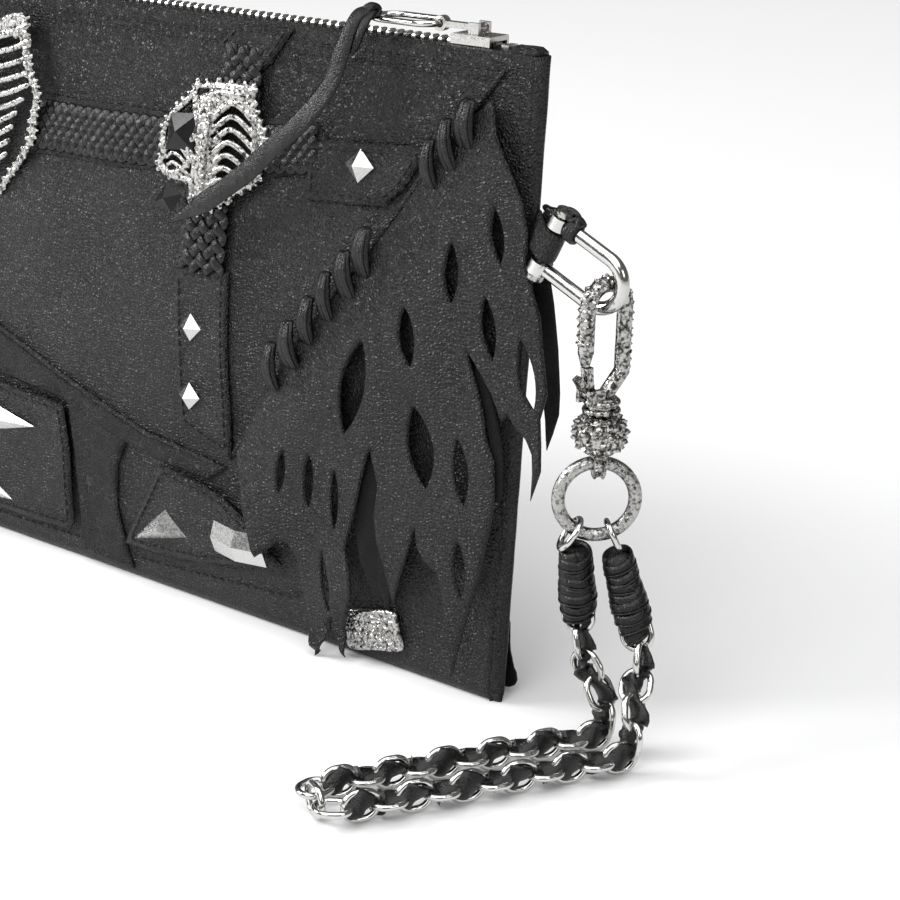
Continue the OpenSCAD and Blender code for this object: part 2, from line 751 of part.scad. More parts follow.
module hanging_links_a() { color(bright) chain_frame() hanging_links(bend_a, hang_a); }
module hanging_links_b() { color(bright) chain_frame() hanging_links(bend_b, hang_b); }
module hanging_lace_a() { chain_frame() hanging_lace(bend_a, hang_a); }
module hanging_lace_b() { chain_frame() hanging_lace(bend_b, hang_b); }
module floor_links_a() { color(bright) chain_frame() floor_run(bend_a, 0, first_run); }
module floor_links_b() { color(bright) chain_frame() floor_run(bend_b, 0, first_run); }
module floor_lace_a() { color(jet) chain_frame() floor_lace(bend_a, 0, first_run); }
module floor_lace_b() { color(jet) chain_frame() floor_lace(bend_b, 0, first_run); }
module end_links_a() { color(bright) chain_frame() floor_run(bend_a, first_run, second_run); }
module end_links_b() { color(bright) chain_frame() floor_run(bend_b, first_run, second_run); }
module end_lace_a() { color(jet) chain_frame() floor_lace(bend_a, first_run, second_run); }
module end_lace_b() { color(jet) chain_frame() floor_lace(bend_b, first_run, second_run); }

// Three links that turn the loop from one strand to the other.
short = link_l - hooked;
tip_angle = asin((lane_b - lane_a - 2 * link_l) / (4 * short));
module tip_links() {
  out_dir = [sin(tip_angle), -cos(tip_angle), 0];
  back_dir = [sin(tip_angle), cos(tip_angle), 0];
  end_a = bend_a + run * step * (first_run + second_run);
  corner = end_a + 2 * short * out_dir;
  far_corner = corner + 2 * link_l * across;
  color(bright)
    chain_frame() {
      set_link(end_a + short * out_dir, out_dir, up);
      set_link(corner + link_l * across, across, run);
      set_link(far_corner + short * back_dir, back_dir, up);
    }
}

// ---- leather-wrapped bindings between the ring and the chain ----

wrap_profile = [[0.17, 3.2], [0.21, 4.3], [0.32, 5.0], [0.46, 5.1], [0.58, 4.9], [0.7, 5.2], [0.82, 5.0], [0.88, 3.6]];

// Place on the ring wire, in the chain's own directions.
function on_ring(side) =
  let (r = side, drop = sqrt(ring_r * ring_r - side * side), turn = ring_turn - chain_turn)
  [r * cos(turn), r * sin(turn), ring_z - drop];
ring_a = on_ring(-5.6);
ring_b = on_ring(4.3);

// Direction from the ring's middle to a place on its wire.
function radial(p) = unit(p - [0, 0, ring_z]);

module binding_links(top, foot) {
  out = radial(top);
  ring_dir = [cos(ring_turn - chain_turn), sin(ring_turn - chain_turn), 0];
  tangent = unit(cross(out, cross(ring_dir, up)));
  set_link(top + out * (link_l - hooked - 0.95), out, tangent);
  way = unit(foot - top);
  set_link(foot - link_l * way, way, cross(foot_line, way));
}

module leather_wrap(top, foot) {
  path = [for (p = wrap_profile) lerp(top, foot, p[0])];
  tube(path, [for (p = wrap_profile) p[1]], 12, across);
}

module binding_links_a() { color(bright) chain_frame() binding_links(ring_a, foot_a); }
module binding_links_b() { color(bright) chain_frame() binding_links(ring_b, foot_b); }
module leather_wrap_a() { color(jet) chain_frame() leather_wrap(ring_a, foot_a); }
module leather_wrap_b() { color(jet) chain_frame() leather_wrap(ring_b, foot_b); }

front_panel();
back_panel();
base_strip();
edge_piping();
lining();
slip_pocket();
zip_tapes();
zip_teeth_front();
zip_teeth_back();
zip_stops();
zip_end_tabs();
braid_band();
braid_drop();
top_tab();
vertical_strap();
right_strap();
pyramid_studs();
left_ornament();
middle_ornament();
black_stones();
distressed_band();
distressed_strip();
stud_patches();
plate_studs();
textured_plate();
fringe_flap();
side_fringe();
back_fringe();
whip_lacing();
zip_slider();
zip_puller();
puller_ring();
thong();
side_tab();
shackle();
shackle_pin();
lace_knot();
hook_body();
hook_gate();
gate_pin();
swivel_eye();
ring();
binding_links_a();
leather_wrap_a();
binding_links_b();
leather_wrap_b();
hanging_links_a();
hanging_lace_a();
hanging_links_b();
hanging_lace_b();
floor_links_a();
floor_lace_a();
floor_links_b();
floor_lace_b();
end_links_a();
end_lace_a();
end_links_b();
end_lace_b();
tip_links();
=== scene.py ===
"""Builds the finished model of a zipped leather pouch with a laced chain wristlet."""

import logging
import math
from dataclasses import dataclass, field
from enum import Enum
from typing import Callable, Iterable, Sequence

import bmesh
import bpy
import numpy as np
from mathutils import Matrix, Vector, geometry, noise

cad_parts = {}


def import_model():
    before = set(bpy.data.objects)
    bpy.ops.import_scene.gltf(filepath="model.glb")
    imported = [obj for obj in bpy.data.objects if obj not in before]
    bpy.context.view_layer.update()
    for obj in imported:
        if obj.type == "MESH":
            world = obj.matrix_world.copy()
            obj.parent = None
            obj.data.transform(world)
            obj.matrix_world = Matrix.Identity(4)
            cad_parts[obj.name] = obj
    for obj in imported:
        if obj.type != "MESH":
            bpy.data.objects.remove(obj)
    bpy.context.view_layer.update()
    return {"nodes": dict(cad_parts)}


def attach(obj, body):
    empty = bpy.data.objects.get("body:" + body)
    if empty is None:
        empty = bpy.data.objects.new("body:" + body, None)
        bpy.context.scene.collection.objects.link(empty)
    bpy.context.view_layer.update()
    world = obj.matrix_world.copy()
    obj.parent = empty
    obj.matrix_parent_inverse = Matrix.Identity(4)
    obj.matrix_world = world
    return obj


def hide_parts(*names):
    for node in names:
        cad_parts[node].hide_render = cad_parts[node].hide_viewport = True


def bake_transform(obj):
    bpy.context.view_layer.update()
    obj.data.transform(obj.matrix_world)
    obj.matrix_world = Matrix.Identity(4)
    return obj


LOG = logging.getLogger("pouch")
MM = 0.001
Point = tuple[float, float, float]
Flat = tuple[float, float]


class Body(str, Enum):
    """The moving bodies that pieces ride on."""

    POUCH = "pouch"
    SLIDER = "zip_slider"
    TAB = "side_tab"
    SHACKLE = "shackle"
    HOOK = "hook"
    SWIVEL = "swivel"


# ---------------------------------------------------------------- finishes


class Shader:
    """A small helper that wires one Principled material."""

    def __init__(self, name: str) -> None:
        """Starts an empty material.

        Args:
            name: The material's name.
        """
        self.material = bpy.data.materials.new(name)
        self.material.use_nodes = True
        self.tree = self.material.node_tree
        self.tree.nodes.clear()
        self.out = self.tree.nodes.new("ShaderNodeOutputMaterial")
        self.bsdf = self.tree.nodes.new("ShaderNodeBsdfPrincipled")
        self.tree.links.new(self.bsdf.outputs[0], self.out.inputs[0])
        self.coord = self.tree.nodes.new("ShaderNodeTexCoord")

    def node(self, kind: str, **values: object) -> bpy.types.Node:
        """Adds a node and sets its properties and numbered or named inputs.

        Args:
            kind: The node type's identifier.
            values: Properties, or inputs written as in_Name.

        Returns:
            The node.
        """
        made = self.tree.nodes.new(kind)
        for key, value in values.items():
            if key.startswith("in_"):
                made.inputs[key[3:].replace("_", " ")].default_value = value
            else:
                setattr(made, key, value)
        return made

    def link(self, a: bpy.types.NodeSocket, b: bpy.types.NodeSocket) -> None:
        """Joins an output to an input."""
        self.tree.links.new(a, b)

    def stretched(self, scale: Point) -> bpy.types.NodeSocket:
        """Object coordinates stretched by a scale on each axis."""
        made = self.node("ShaderNodeMapping")
        made.inputs["Scale"].default_value = scale
        self.link(self.coord.outputs["Object"], made.inputs["Vector"])
        return made.outputs["Vector"]

    def speckle(
        self, scale: float, detail: float = 3.0, vector: bpy.types.NodeSocket | None = None
    ) -> bpy.types.NodeSocket:
        """Noise over Object coordinates.

        Args:
            scale: Repeats per metre.
            detail: Octaves of the noise.
            vector: Other coordinates to use.

        Returns:
            The noise's factor.
        """
        made = self.node("ShaderNodeTexNoise", in_Scale=scale, in_Detail=detail)
        self.link(vector or self.coord.outputs["Object"], made.inputs["Vector"])
        return made.outputs["Fac"]

    def cells(
        self, scale: float, feature: str = "DISTANCE_TO_EDGE", vector: bpy.types.NodeSocket | None = None
    ) -> bpy.types.NodeSocket:
        """Distance field of a cell pattern.

        Args:
            scale: Cells per metre.
            feature: Voronoi feature.
            vector: Other coordinates to use.

        Returns:
            The distance.
        """
        made = self.node("ShaderNodeTexVoronoi", feature=feature, in_Scale=scale)
        self.link(vector or self.coord.outputs["Object"], made.inputs["Vector"])
        return made.outputs["Distance"]

    def ramp(
        self, source: bpy.types.NodeSocket, stops: Sequence[tuple[float, Point]]
    ) -> bpy.types.NodeSocket:
        """Maps a value to colours.

        Args:
            source: The value.
            stops: Positions and their colours.

        Returns:
            The colour.
        """
        made = self.node("ShaderNodeValToRGB")
        band = made.color_ramp
        while len(band.elements) < len(stops):
            band.elements.new(0.5)
        for element, (at, rgb) in zip(band.elements, stops):
            element.position = at
            element.color = (*rgb, 1.0)
        self.link(source, made.inputs["Fac"])
        return made.outputs["Color"]

    def spread(
        self, source: bpy.types.NodeSocket, low: float, high: float, start: float = 0.0, stop: float = 1.0
    ) -> bpy.types.NodeSocket:
        """Maps start..stop of a value to low..high."""
        made = self.node("ShaderNodeMapRange")
        for key, value in (("From Min", start), ("From Max", stop), ("To Min", low), ("To Max", high)):
            made.inputs[key].default_value = value
        self.link(source, made.inputs["Value"])
        return made.outputs["Result"]

    def bump(
        self, source: bpy.types.NodeSocket, strength: float, distance: float,
        under: bpy.types.NodeSocket | None = None
    ) -> bpy.types.NodeSocket:
        """Adds relief.

        Args:
            source: Height.
            strength: Share of the effect.
            distance: Height in metres.
            under: A normal to add to.

        Returns:
            The normal.
        """
        made = self.node("ShaderNodeBump", in_Strength=strength, in_Distance=distance)
        self.link(source, made.inputs["Height"])
        if under is not None:
            self.link(under, made.inputs["Normal"])
        return made.outputs["Normal"]


@dataclass(frozen=True)
class LeatherFinish:
    """Grained leather with small pebbles, pores and long soft creases."""

    name: str
    dark: Point = (0.002, 0.002, 0.0021)
    light: Point = (0.0065, 0.0065, 0.0067)
    pebble: float = 1000.0
    grain: float = 0.85
    crease: float = 0.5
    rough: Flat = (0.3, 0.46)
    crackle: float = 0.0

    def make(self) -> bpy.types.Material:
        """Wires the material."""
        s = Shader(self.name)
        broad = s.speckle(28, 4)
        s.link(s.ramp(broad, [(0.3, self.dark), (0.75, self.light)]), s.bsdf.inputs["Base Color"])
        fine = s.speckle(2600, 3)
        wobble = s.node("ShaderNodeVectorMath", operation="ADD")
        drift = s.node("ShaderNodeTexNoise", in_Scale=300.0)
        s.link(s.coord.outputs["Object"], drift.inputs["Vector"])
        shrink = s.node("ShaderNodeVectorMath", operation="SCALE", in_Scale=0.0011)
        s.link(drift.outputs["Color"], shrink.inputs[0])
        s.link(s.coord.outputs["Object"], wobble.inputs[0])
        s.link(shrink.outputs[0], wobble.inputs[1])
        pebbles = s.spread(s.cells(self.pebble, vector=wobble.outputs[0]), 0, 1, 0.0, 0.42)
        normal = s.bump(pebbles, self.grain, 0.0004)
        normal = s.bump(fine, 0.5, 0.00016, normal)
        folds = s.speckle(60, 5, s.stretched((1.0, 1.0, 0.45)))
        normal = s.bump(folds, self.crease, 0.004, normal)
        if self.crackle:
            torn = s.spread(s.cells(420, vector=wobble.outputs[0]), 0, 1, 0.0, 0.1)
            patch = s.spread(s.speckle(95, 5), 0, 1, 0.46, 0.56)
            both = s.node("ShaderNodeMath", operation="MAXIMUM")
            s.link(torn, both.inputs[0])
            s.link(patch, both.inputs[1])
            normal = s.bump(both.outputs[0], self.crackle, 0.0006, normal)
            s.link(
                s.ramp(both.outputs[0], [(0.1, (0.045, 0.044, 0.042)), (0.6, self.dark)]),
                s.bsdf.inputs["Base Color"]
            )
        s.link(
            s.spread(s.speckle(130, 3), self.rough[0], self.rough[1], 0.3, 0.7), s.bsdf.inputs["Roughness"]
        )
        s.link(normal, s.bsdf.inputs["Normal"])
        s.bsdf.inputs["Specular IOR Level"].default_value = 0.36
        return s.material


@dataclass(frozen=True)
class MetalFinish:
    """Silver-coloured metal with patina in the hollows, pits and fine scratches."""

    name: str
    bright: Point = (0.78, 0.77, 0.75)
    patina: Point = (0.05, 0.048, 0.045)
    age: float = 0.0
    pits: float = 0.0
    grain: float = 0.1
    rough: Flat = (0.12, 0.3)

    def make(self) -> bpy.types.Material:
        """Wires the material."""
        s = Shader(self.name)
        s.bsdf.inputs["Metallic"].default_value = 1.0
        hollow = s.speckle(900, 4)
        low = 0.42 * self.age
        s.link(
            s.ramp(hollow, [(max(0.0, low), self.patina), (min(1.0, low + 0.16), self.bright)]),
            s.bsdf.inputs["Base Color"],
        )
        s.link(
            s.spread(s.speckle(1500, 4), self.rough[0], self.rough[1], 0.3, 0.7), s.bsdf.inputs["Roughness"]
        )
        normal = s.bump(s.speckle(700, 5), self.grain, 0.0003)
        if self.pits:
            normal = s.bump(s.spread(s.cells(800, "F1"), 1, 0, 0.0, 0.6), self.pits, 0.0004, normal)
        s.link(normal, s.bsdf.inputs["Normal"])
        return s.material


@dataclass(frozen=True)
class ClothFinish:
    """Plain woven cloth."""

    name: str
    colour: Point = (0.012, 0.012, 0.012)
    thread: float = 2200.0

    def make(self) -> bpy.types.Material:
        """Wires the material."""
        s = Shader(self.name)
        warp = s.node("ShaderNodeTexWave", in_Scale=self.thread / 6, in_Distortion=0.4, bands_direction="X")
        weft = s.node("ShaderNodeTexWave", in_Scale=self.thread / 6, in_Distortion=0.4, bands_direction="Z")
        for band in (warp, weft):
            s.link(s.coord.outputs["Object"], band.inputs["Vector"])
        both = s.node("ShaderNodeMath", operation="MULTIPLY")
        s.link(warp.outputs["Fac"], both.inputs[0])
        s.link(weft.outputs["Fac"], both.inputs[1])
        lighter = tuple(min(1.0, c * 2.2) for c in self.colour)
        s.link(s.ramp(both.outputs[0], [(0.1, self.colour), (0.9, lighter)]), s.bsdf.inputs["Base Color"])
        s.link(s.spread(s.speckle(400), 0.75, 0.95), s.bsdf.inputs["Roughness"])
        s.link(s.bump(both.outputs[0], 0.6, 0.0003), s.bsdf.inputs["Normal"])
        return s.material


@dataclass(frozen=True)
class StoneFinish:
    """Black cut stone."""

    name: str

    def make(self) -> bpy.types.Material:
        """Wires the material."""
        s = Shader(self.name)
        s.link(
            s.ramp(s.speckle(300), [(0.3, (0.002, 0.002, 0.002)), (0.8, (0.008, 0.008, 0.01))]),
            s.bsdf.inputs["Base Color"]
        )
        s.link(s.spread(s.speckle(700), 0.12, 0.22), s.bsdf.inputs["Roughness"])
        s.bsdf.inputs["Specular IOR Level"].default_value = 0.22
        s.link(s.bump(s.speckle(500), 0.05, 0.0001), s.bsdf.inputs["Normal"])
        s.bsdf.inputs["Coat Weight"].default_value = 0.05
        s.bsdf.inputs["Coat Roughness"].default_value = 0.04
        return s.material


@dataclass(frozen=True)
class Wardrobe:
    """Every finish of the object, made once."""

    shell: bpy.types.Material
    suede: bpy.types.Material
    worn: bpy.types.Material
    lace: bpy.types.Material
    thread: bpy.types.Material
    tape: bpy.types.Material
    lining: bpy.types.Material
    zip_metal: bpy.types.Material
    stud: bpy.types.Material
    cast: bpy.types.Material
    stone: bpy.types.Material
    antique: bpy.types.Material
    brushed: bpy.types.Material
    chain: bpy.types.Material

    @classmethod
    def sew(cls) -> "Wardrobe":
        """Makes the finishes."""
        return cls(
            shell=LeatherFinish("soft_grain_leather").make(),
            suede=LeatherFinish(
                "raw_back_leather", dark=(0.0025, 0.0025, 0.0025), light=(0.005, 0.005, 0.005), pebble=2000,
                rough=(0.8, 0.95)
            ).make(),
            worn=LeatherFinish(
                "crackled_leather", dark=(0.003, 0.003, 0.003), light=(0.009, 0.009, 0.009), crackle=0.9,
                rough=(0.5, 0.7)
            ).make(),
            lace=LeatherFinish(
                "lace_leather", dark=(0.0015, 0.0015, 0.0015), light=(0.005, 0.005, 0.005), pebble=1500,
                grain=0.25, crease=0.6, rough=(0.2, 0.36)
            ).make(),
            thread=ClothFinish("waxed_thread", (0.01, 0.01, 0.01), 5000).make(),
            tape=ClothFinish("zip_tape_weave", (0.008, 0.008, 0.008)).make(),
            lining=ClothFinish("lining_twill", (0.02, 0.02, 0.022), 1500).make(),
            zip_metal=MetalFinish(
                "zip_nickel", bright=(0.5, 0.49, 0.475), age=0.5, rough=(0.18, 0.34)
            ).make(),
            stud=MetalFinish(
                "stud_silver", bright=(0.6, 0.595, 0.585), age=0.0, grain=0.2, rough=(0.2, 0.36)
            ).make(),
            cast=MetalFinish(
                "cast_silver", bright=(0.5, 0.495, 0.48), age=0.85, pits=0.4, grain=0.45, rough=(0.18, 0.4)
            ).make(),
            stone=StoneFinish("black_cut_stone").make(),
            antique=MetalFinish(
                "antique_silver", bright=(0.47, 0.465, 0.45), age=0.95, pits=0.4, grain=0.4,
                rough=(0.14, 0.34)
            ).make(),
            brushed=MetalFinish(
                "hammered_ring_silver", bright=(0.44, 0.435, 0.42), age=0.8, pits=0.6, grain=0.6,
                rough=(0.25, 0.45)
            ).make(),
            chain=MetalFinish(
                "chain_silver", bright=(0.58, 0.575, 0.56), age=0.5, grain=0.12, rough=(0.08, 0.22)
            ).make(),
        )


# ---------------------------------------------------------------- mesh helpers


def piece(
    name: str, points: Sequence[Sequence[float]], faces: Sequence[Sequence[int]],
    finish: bpy.types.Material, smooth: bool = True
) -> bpy.types.Object:
    """Makes an object at the origin from points in millimetres.

    Args:
        name: Name of the object.
        points: Vertices, in millimetres.
        faces: Vertex numbers of each face.
        finish: The material.
        smooth: Whether the faces are smooth shaded.

    Returns:
        The object.
    """
    mesh = bpy.data.meshes.new(name)
    mesh.from_pydata([(p[0] * MM, p[1] * MM, p[2] * MM) for p in points], [], [list(f) for f in faces])
    mesh.validate()
    mesh.update()
    mesh.materials.append(finish)
    if smooth:
        mesh.shade_smooth()
    made = bpy.data.objects.new(name, mesh)
    bpy.context.scene.collection.objects.link(made)
    return made


def outward(obj: bpy.types.Object) -> bpy.types.Object:
    """Turns every face of a closed mesh outwards."""
    work = bmesh.new()
    work.from_mesh(obj.data)
    bmesh.ops.recalc_face_normals(work, faces=work.faces)
    work.to_mesh(obj.data)
    work.free()
    return obj


def applied(obj: bpy.types.Object, finish: bpy.types.Material, smooth: bool = True) -> bpy.types.Object:
    """Turns an object's modifiers into plain mesh.

    Args:
        obj: The object with modifiers.
        finish: Material of the result.
        smooth: Whether it is smooth shaded.

    Returns:
        A plain object of the same name.
    """
    bpy.context.view_layer.update()
    depsgraph = bpy.context.evaluated_depsgraph_get()
    mesh = bpy.data.meshes.new_from_object(obj.evaluated_get(depsgraph))
    mesh.materials.clear()
    mesh.materials.append(finish)
    name = obj.name
    bpy.data.objects.remove(obj)
    made = bpy.data.objects.new(name, mesh)
    bpy.context.scene.collection.objects.link(made)
    if smooth:
        mesh.shade_smooth()
    return made


def joined(name: str, objs: Sequence[bpy.types.Object]) -> bpy.types.Object:
    """Joins objects that share a finish into one.

    Args:
        name: Name of the result.
        objs: The objects, in metres at the origin.

    Returns:
        The joined object.
    """
    work = bmesh.new()
    finish = objs[0].data.materials[0]
    for obj in objs:
        work.from_mesh(obj.data)
    mesh = bpy.data.meshes.new(name)
    work.to_mesh(mesh)
    work.free()
    mesh.materials.append(finish)
    for obj in objs:
        bpy.data.objects.remove(obj)
    made = bpy.data.objects.new(name, mesh)
    bpy.context.scene.collection.objects.link(made)
    return made


def smooth_line(points: Sequence[Sequence[float]], steps: int) -> list[Vector]:
    """A smooth line through points.

    Args:
        points: The points to pass through.
        steps: Pieces between each two points.

    Returns:
        The points of the line.
    """
    ps = [Vector(p) for p in points]
    line: list[Vector] = []
    for i in range(len(ps) - 1):
        a, b = ps[max(i - 1, 0)], ps[i]
        c, d = ps[i + 1], ps[min(i + 2, len(ps) - 1)]
        for k in range(steps):
            t = k / steps
            line.append(
                0.5 * (
                    2 * b + (c - a) * t + (2 * a - 5 * b + 4 * c - d) * t * t
                    + (3 * b - a - 3 * c + d) * t**3
                )
            )
    line.append(ps[-1])
    return line


def sweep(
    name: str,
    path: Sequence[Vector],
    finish: bpy.types.Material,
    width: Callable[[float], float],
    thick: Callable[[float], float],
    side: Callable[[float], Vector] | Vector,
    sides: int = 12,
) -> bpy.types.Object:
    """A tube or strip along a path, with rounded closed ends.

    Args:
        name: Name of the object.
        path: Points in millimetres.
        finish: The material.
        width: Half width over the run, from 0 to 1.
        thick: Half thickness over the run.
        side: Direction of the width, fixed or over the run.
        sides: Points round the section.

    Returns:
        The object.
    """
    last = len(path) - 1
    points: list[Vector] = []
    faces: list[list[int]] = []
    for i, p in enumerate(path):
        f = i / last
        along = (path[min(i + 1, last)] - path[max(i - 1, 0)]).normalized()
        wanted = side(f) if callable(side) else side
        across = (wanted - along * wanted.dot(along)).normalized()
        up = along.cross(across)
        for k in range(sides):
            a = 2 * math.pi * k / sides
            points.append(p + across * math.cos(a) * width(f) + up * math.sin(a) * thick(f))
    for i in range(last):
        for k in range(sides):
            n = (k + 1) % sides
            faces.append([i * sides + k, i * sides + n, (i + 1) * sides + n, (i + 1) * sides + k])
    faces.append([k for k in range(sides - 1, -1, -1)])
    faces.append([last * sides + k for k in range(sides)])
    return outward(piece(name, points, faces, finish))


def rounded_end(f: float, share: float = 0.04, least: float = 0.35) -> float:
    """Narrows the ends of a run.

    Args:
        f: Place along the run.
        share: Share of the run that narrows at each end.
        least: Size at the very end.

    Returns:
        The factor for the width.
    """
    near = min(f, 1 - f) / share
    return least + (1 - least) * math.sqrt(max(0.0, 1 - (1 - min(1.0, near)) ** 2))


class Scatter:
    """Geometry Nodes that set one small piece at many places."""

    tree: bpy.types.NodeTree | None = None

    @classmethod
    def nodes(cls) -> bpy.types.NodeTree:
        """Builds the tree once."""
        if cls.tree is not None:
            return cls.tree
        tree = bpy.data.node_groups.new("set_at_places", "GeometryNodeTree")
        face = tree.interface
        face.new_socket("Geometry", in_out="INPUT", socket_type="NodeSocketGeometry")
        face.new_socket("Part", in_out="INPUT", socket_type="NodeSocketObject")
        face.new_socket("Size", in_out="INPUT", socket_type="NodeSocketFloat").default_value = 1.0
        face.new_socket("Finish", in_out="INPUT", socket_type="NodeSocketMaterial")
        face.new_socket("Geometry", in_out="OUTPUT", socket_type="NodeSocketGeometry")
        add = tree.nodes.new
        source, sink = add("NodeGroupInput"), add("NodeGroupOutput")
        info, place = add("GeometryNodeObjectInfo"), add("GeometryNodeInstanceOnPoints")
        turn, grow = add("GeometryNodeInputNamedAttribute"), add("GeometryNodeInputNamedAttribute")
        for attribute, label in ((turn, "turn"), (grow, "grow")):
            attribute.data_type = "FLOAT_VECTOR"
            attribute.inputs["Name"].default_value = label
        scaled = add("ShaderNodeVectorMath")
        scaled.operation = "SCALE"
        real, dress = add("GeometryNodeRealizeInstances"), add("GeometryNodeSetMaterial")
        link = tree.links.new
        link(source.outputs["Geometry"], place.inputs["Points"])
        link(source.outputs["Part"], info.inputs["Object"])
        link(info.outputs["Geometry"], place.inputs["Instance"])
        link(turn.outputs["Attribute"], place.inputs["Rotation"])
        link(grow.outputs["Attribute"], scaled.inputs[0])
        link(source.outputs["Size"], scaled.inputs["Scale"])
        link(scaled.outputs[0], place.inputs["Scale"])
        link(place.outputs["Instances"], real.inputs["Geometry"])
        link(real.outputs["Geometry"], dress.inputs["Geometry"])
        link(source.outputs["Finish"], dress.inputs["Material"])
        link(dress.outputs["Geometry"], sink.inputs["Geometry"])
        cls.tree = tree
        return tree

    @classmethod
    def set_out(
        cls,
        name: str,
        part: bpy.types.Object,
        places: Sequence[tuple[Vector, Matrix, Point]],
        finish: bpy.types.Material,
        smooth: bool = True,
    ) -> bpy.types.Object:
        """Sets a part at each place and removes the part.

        Args:
            name: Name of the result.
            part: The small piece, modelled about the origin.
            places: Position in millimetres, turn and size of each copy.
            finish: The material.
            smooth: Whether the result is smooth shaded.

        Returns:
            The plain mesh object.
        """
        mesh = bpy.data.meshes.new(name)
        mesh.from_pydata([tuple(p * MM) for p, _, _ in places], [], [])
        turns = mesh.attributes.new("turn", "FLOAT_VECTOR", "POINT")
        sizes = mesh.attributes.new("grow", "FLOAT_VECTOR", "POINT")
        for i, (_, turn, size) in enumerate(places):
            turns.data[i].vector = tuple(turn.to_3x3().to_euler("XYZ"))
            sizes.data[i].vector = size
        host = bpy.data.objects.new(name, mesh)
        bpy.context.scene.collection.objects.link(host)
        modifier = host.modifiers.new("set_out", "NODES")
        modifier.node_group = cls.nodes()
        for item in modifier.node_group.interface.items_tree:
            if item.in_out == "INPUT" and item.name == "Part":
                modifier[item.identifier] = part
            elif item.in_out == "INPUT" and item.name == "Size":
                modifier[item.identifier] = 1.0
            elif item.in_out == "INPUT" and item.name == "Finish":
                modifier[item.identifier] = finish
        made = applied(host, finish, smooth)
        bpy.data.objects.remove(part)
        return made


def turn_of(along: Vector, face: Vector) -> Matrix:
    """The turn that lays X along one direction and Z towards another.

    Args:
        along: Direction of X.
        face: Direction that Z leans to.

    Returns:
        A turn as a matrix.
    """
    x = along.normalized()
    z = (face - x * face.dot(x)).normalized()
    y = z.cross(x)
    return Matrix((x, y, z)).transposed()


# ---------------------------------------------------------------- the pouch's own surface


@dataclass(frozen=True)
class PouchShape:
    """The stuffed shape of the pouch, in millimetres, with its soft creases."""

    half: float = 150.0
    height: float = 180.0
    foot: float = -12.0
    lean: float = 9.9
    seam: float = 6.0
    belly: float = 20.0
    swell: float = 6.0
    top: float = 11.0
    wall: float = 1.5
    corner: float = 3.5

    def fade(self, x: float) -> float:
        """How far the pouch is filled, from 0 at a side to 1 in the middle."""
        return 1 - min(1.0, abs(x) / self.half) ** 4

    def edge(self, z: float) -> float:
        """Front edge line of the sides at a height."""
        return self.foot + self.lean * z / self.height

    def rise(self, z: float) -> float:
        """Swelling over the height."""
        return math.sin(math.pi * max(0.0, min(1.0, z / self.height)))

    def crease(self, x: float, z: float, seed: float) -> float:
        """Soft dents and folds of the filled leather."""
        inner = min(1.0, (self.half - abs(x)) / 14) * min(1.0, max(0.0, z) / 18) * min(
            1.0, max(0.0, self.height - z) / 10
        )
        if inner <= 0:
            return 0.0
        broad = noise.noise(Vector((x / 52, z / 40, seed)))
        fold = noise.noise(Vector(((x + z * 0.55) / 21, (z - x * 0.3) / 70, seed + 4)))
        fold2 = noise.noise(Vector(((x - z * 0.4) / 12, (z + x * 0.2) / 46, seed + 9)))
        return inner * (1.3 * broad + 0.85 * fold + 0.35 * fold2)

    def tuck(self, z: float) -> float:
        """How far a wall turns in just above the base."""
        if z >= self.corner:
            return 0.0
        return self.corner - math.sqrt(max(0.0, self.corner**2 - (self.corner - max(0.0, z)) ** 2))

    def front(self, x: float, z: float) -> float:
        """Y of the front leather."""
        return self.edge(z) - self.swell * self.fade(x) * self.rise(z) + self.crease(x, z, 1.0) + self.tuck(z)

    def back(self, x: float, z: float) -> float:
        """Y of the back leather, which stays full nearer to the sides towards the zip."""
        depth = (
            self.belly * (1 - z / self.height) + (self.top - self.seam) * z / self.height + 5 * self.rise(z)
        )
        full = 1 - min(1.0, abs(x) / self.half) ** (4 + 30 * (max(0.0, z) / self.height) ** 2)
        return self.edge(z) + self.seam + depth * full + self.crease(x, z, 6.0) - self.tuck(z)

    def place(self, x: float, z: float, off: float) -> Vector:
        """A point above the front leather."""
        held = max(-self.half, min(self.half, x))
        return Vector((x, self.front(held, z) - off, z))

    def normal(self, x: float, z: float) -> Vector:
        """Outward direction of the front leather."""
        a = self.place(x + 2, z, 0) - self.place(x - 2, z, 0)
        b = self.place(x, z + 2, 0) - self.place(x, z - 2, 0)
        n = a.cross(b).normalized()
        return n if n.y < 0 else -n


SHAPE = PouchShape()


def dense(outline: Sequence[Flat], step: float, closed: bool = True) -> list[Flat]:
    """Adds points along an outline so that none are further apart than a step."""
    made: list[Flat] = []
    count = len(outline) if closed else len(outline) - 1
    for i in range(count):
        a, b = outline[i], outline[(i + 1) % len(outline)]
        n = max(1, math.ceil(math.dist(a, b) / step))
        made += [(a[0] + (b[0] - a[0]) * k / n, a[1] + (b[1] - a[1]) * k / n) for k in range(n)]
    if not closed:
        made.append(outline[-1])
    return made


def softened(outline: Sequence[Flat], steps: int = 4) -> list[Flat]:
    """A closed outline rounded through its points."""
    ps = [Vector((p[0], p[1], 0)) for p in outline]
    looped = [ps[-1], *ps, ps[0], ps[1]]
    made: list[Flat] = []
    for i in range(1, len(ps) + 1):
        a, b, c, d = looped[i - 1], looped[i], looped[i + 1], looped[i + 2]
        for k in range(steps):
            t = k / steps
            q = 0.5 * (
                2 * b + (c - a) * t + (2 * a - 5 * b + 4 * c - d) * t * t + (3 * b - a - 3 * c + d) * t**3
            )
            made.append((q.x, q.y))
    return made


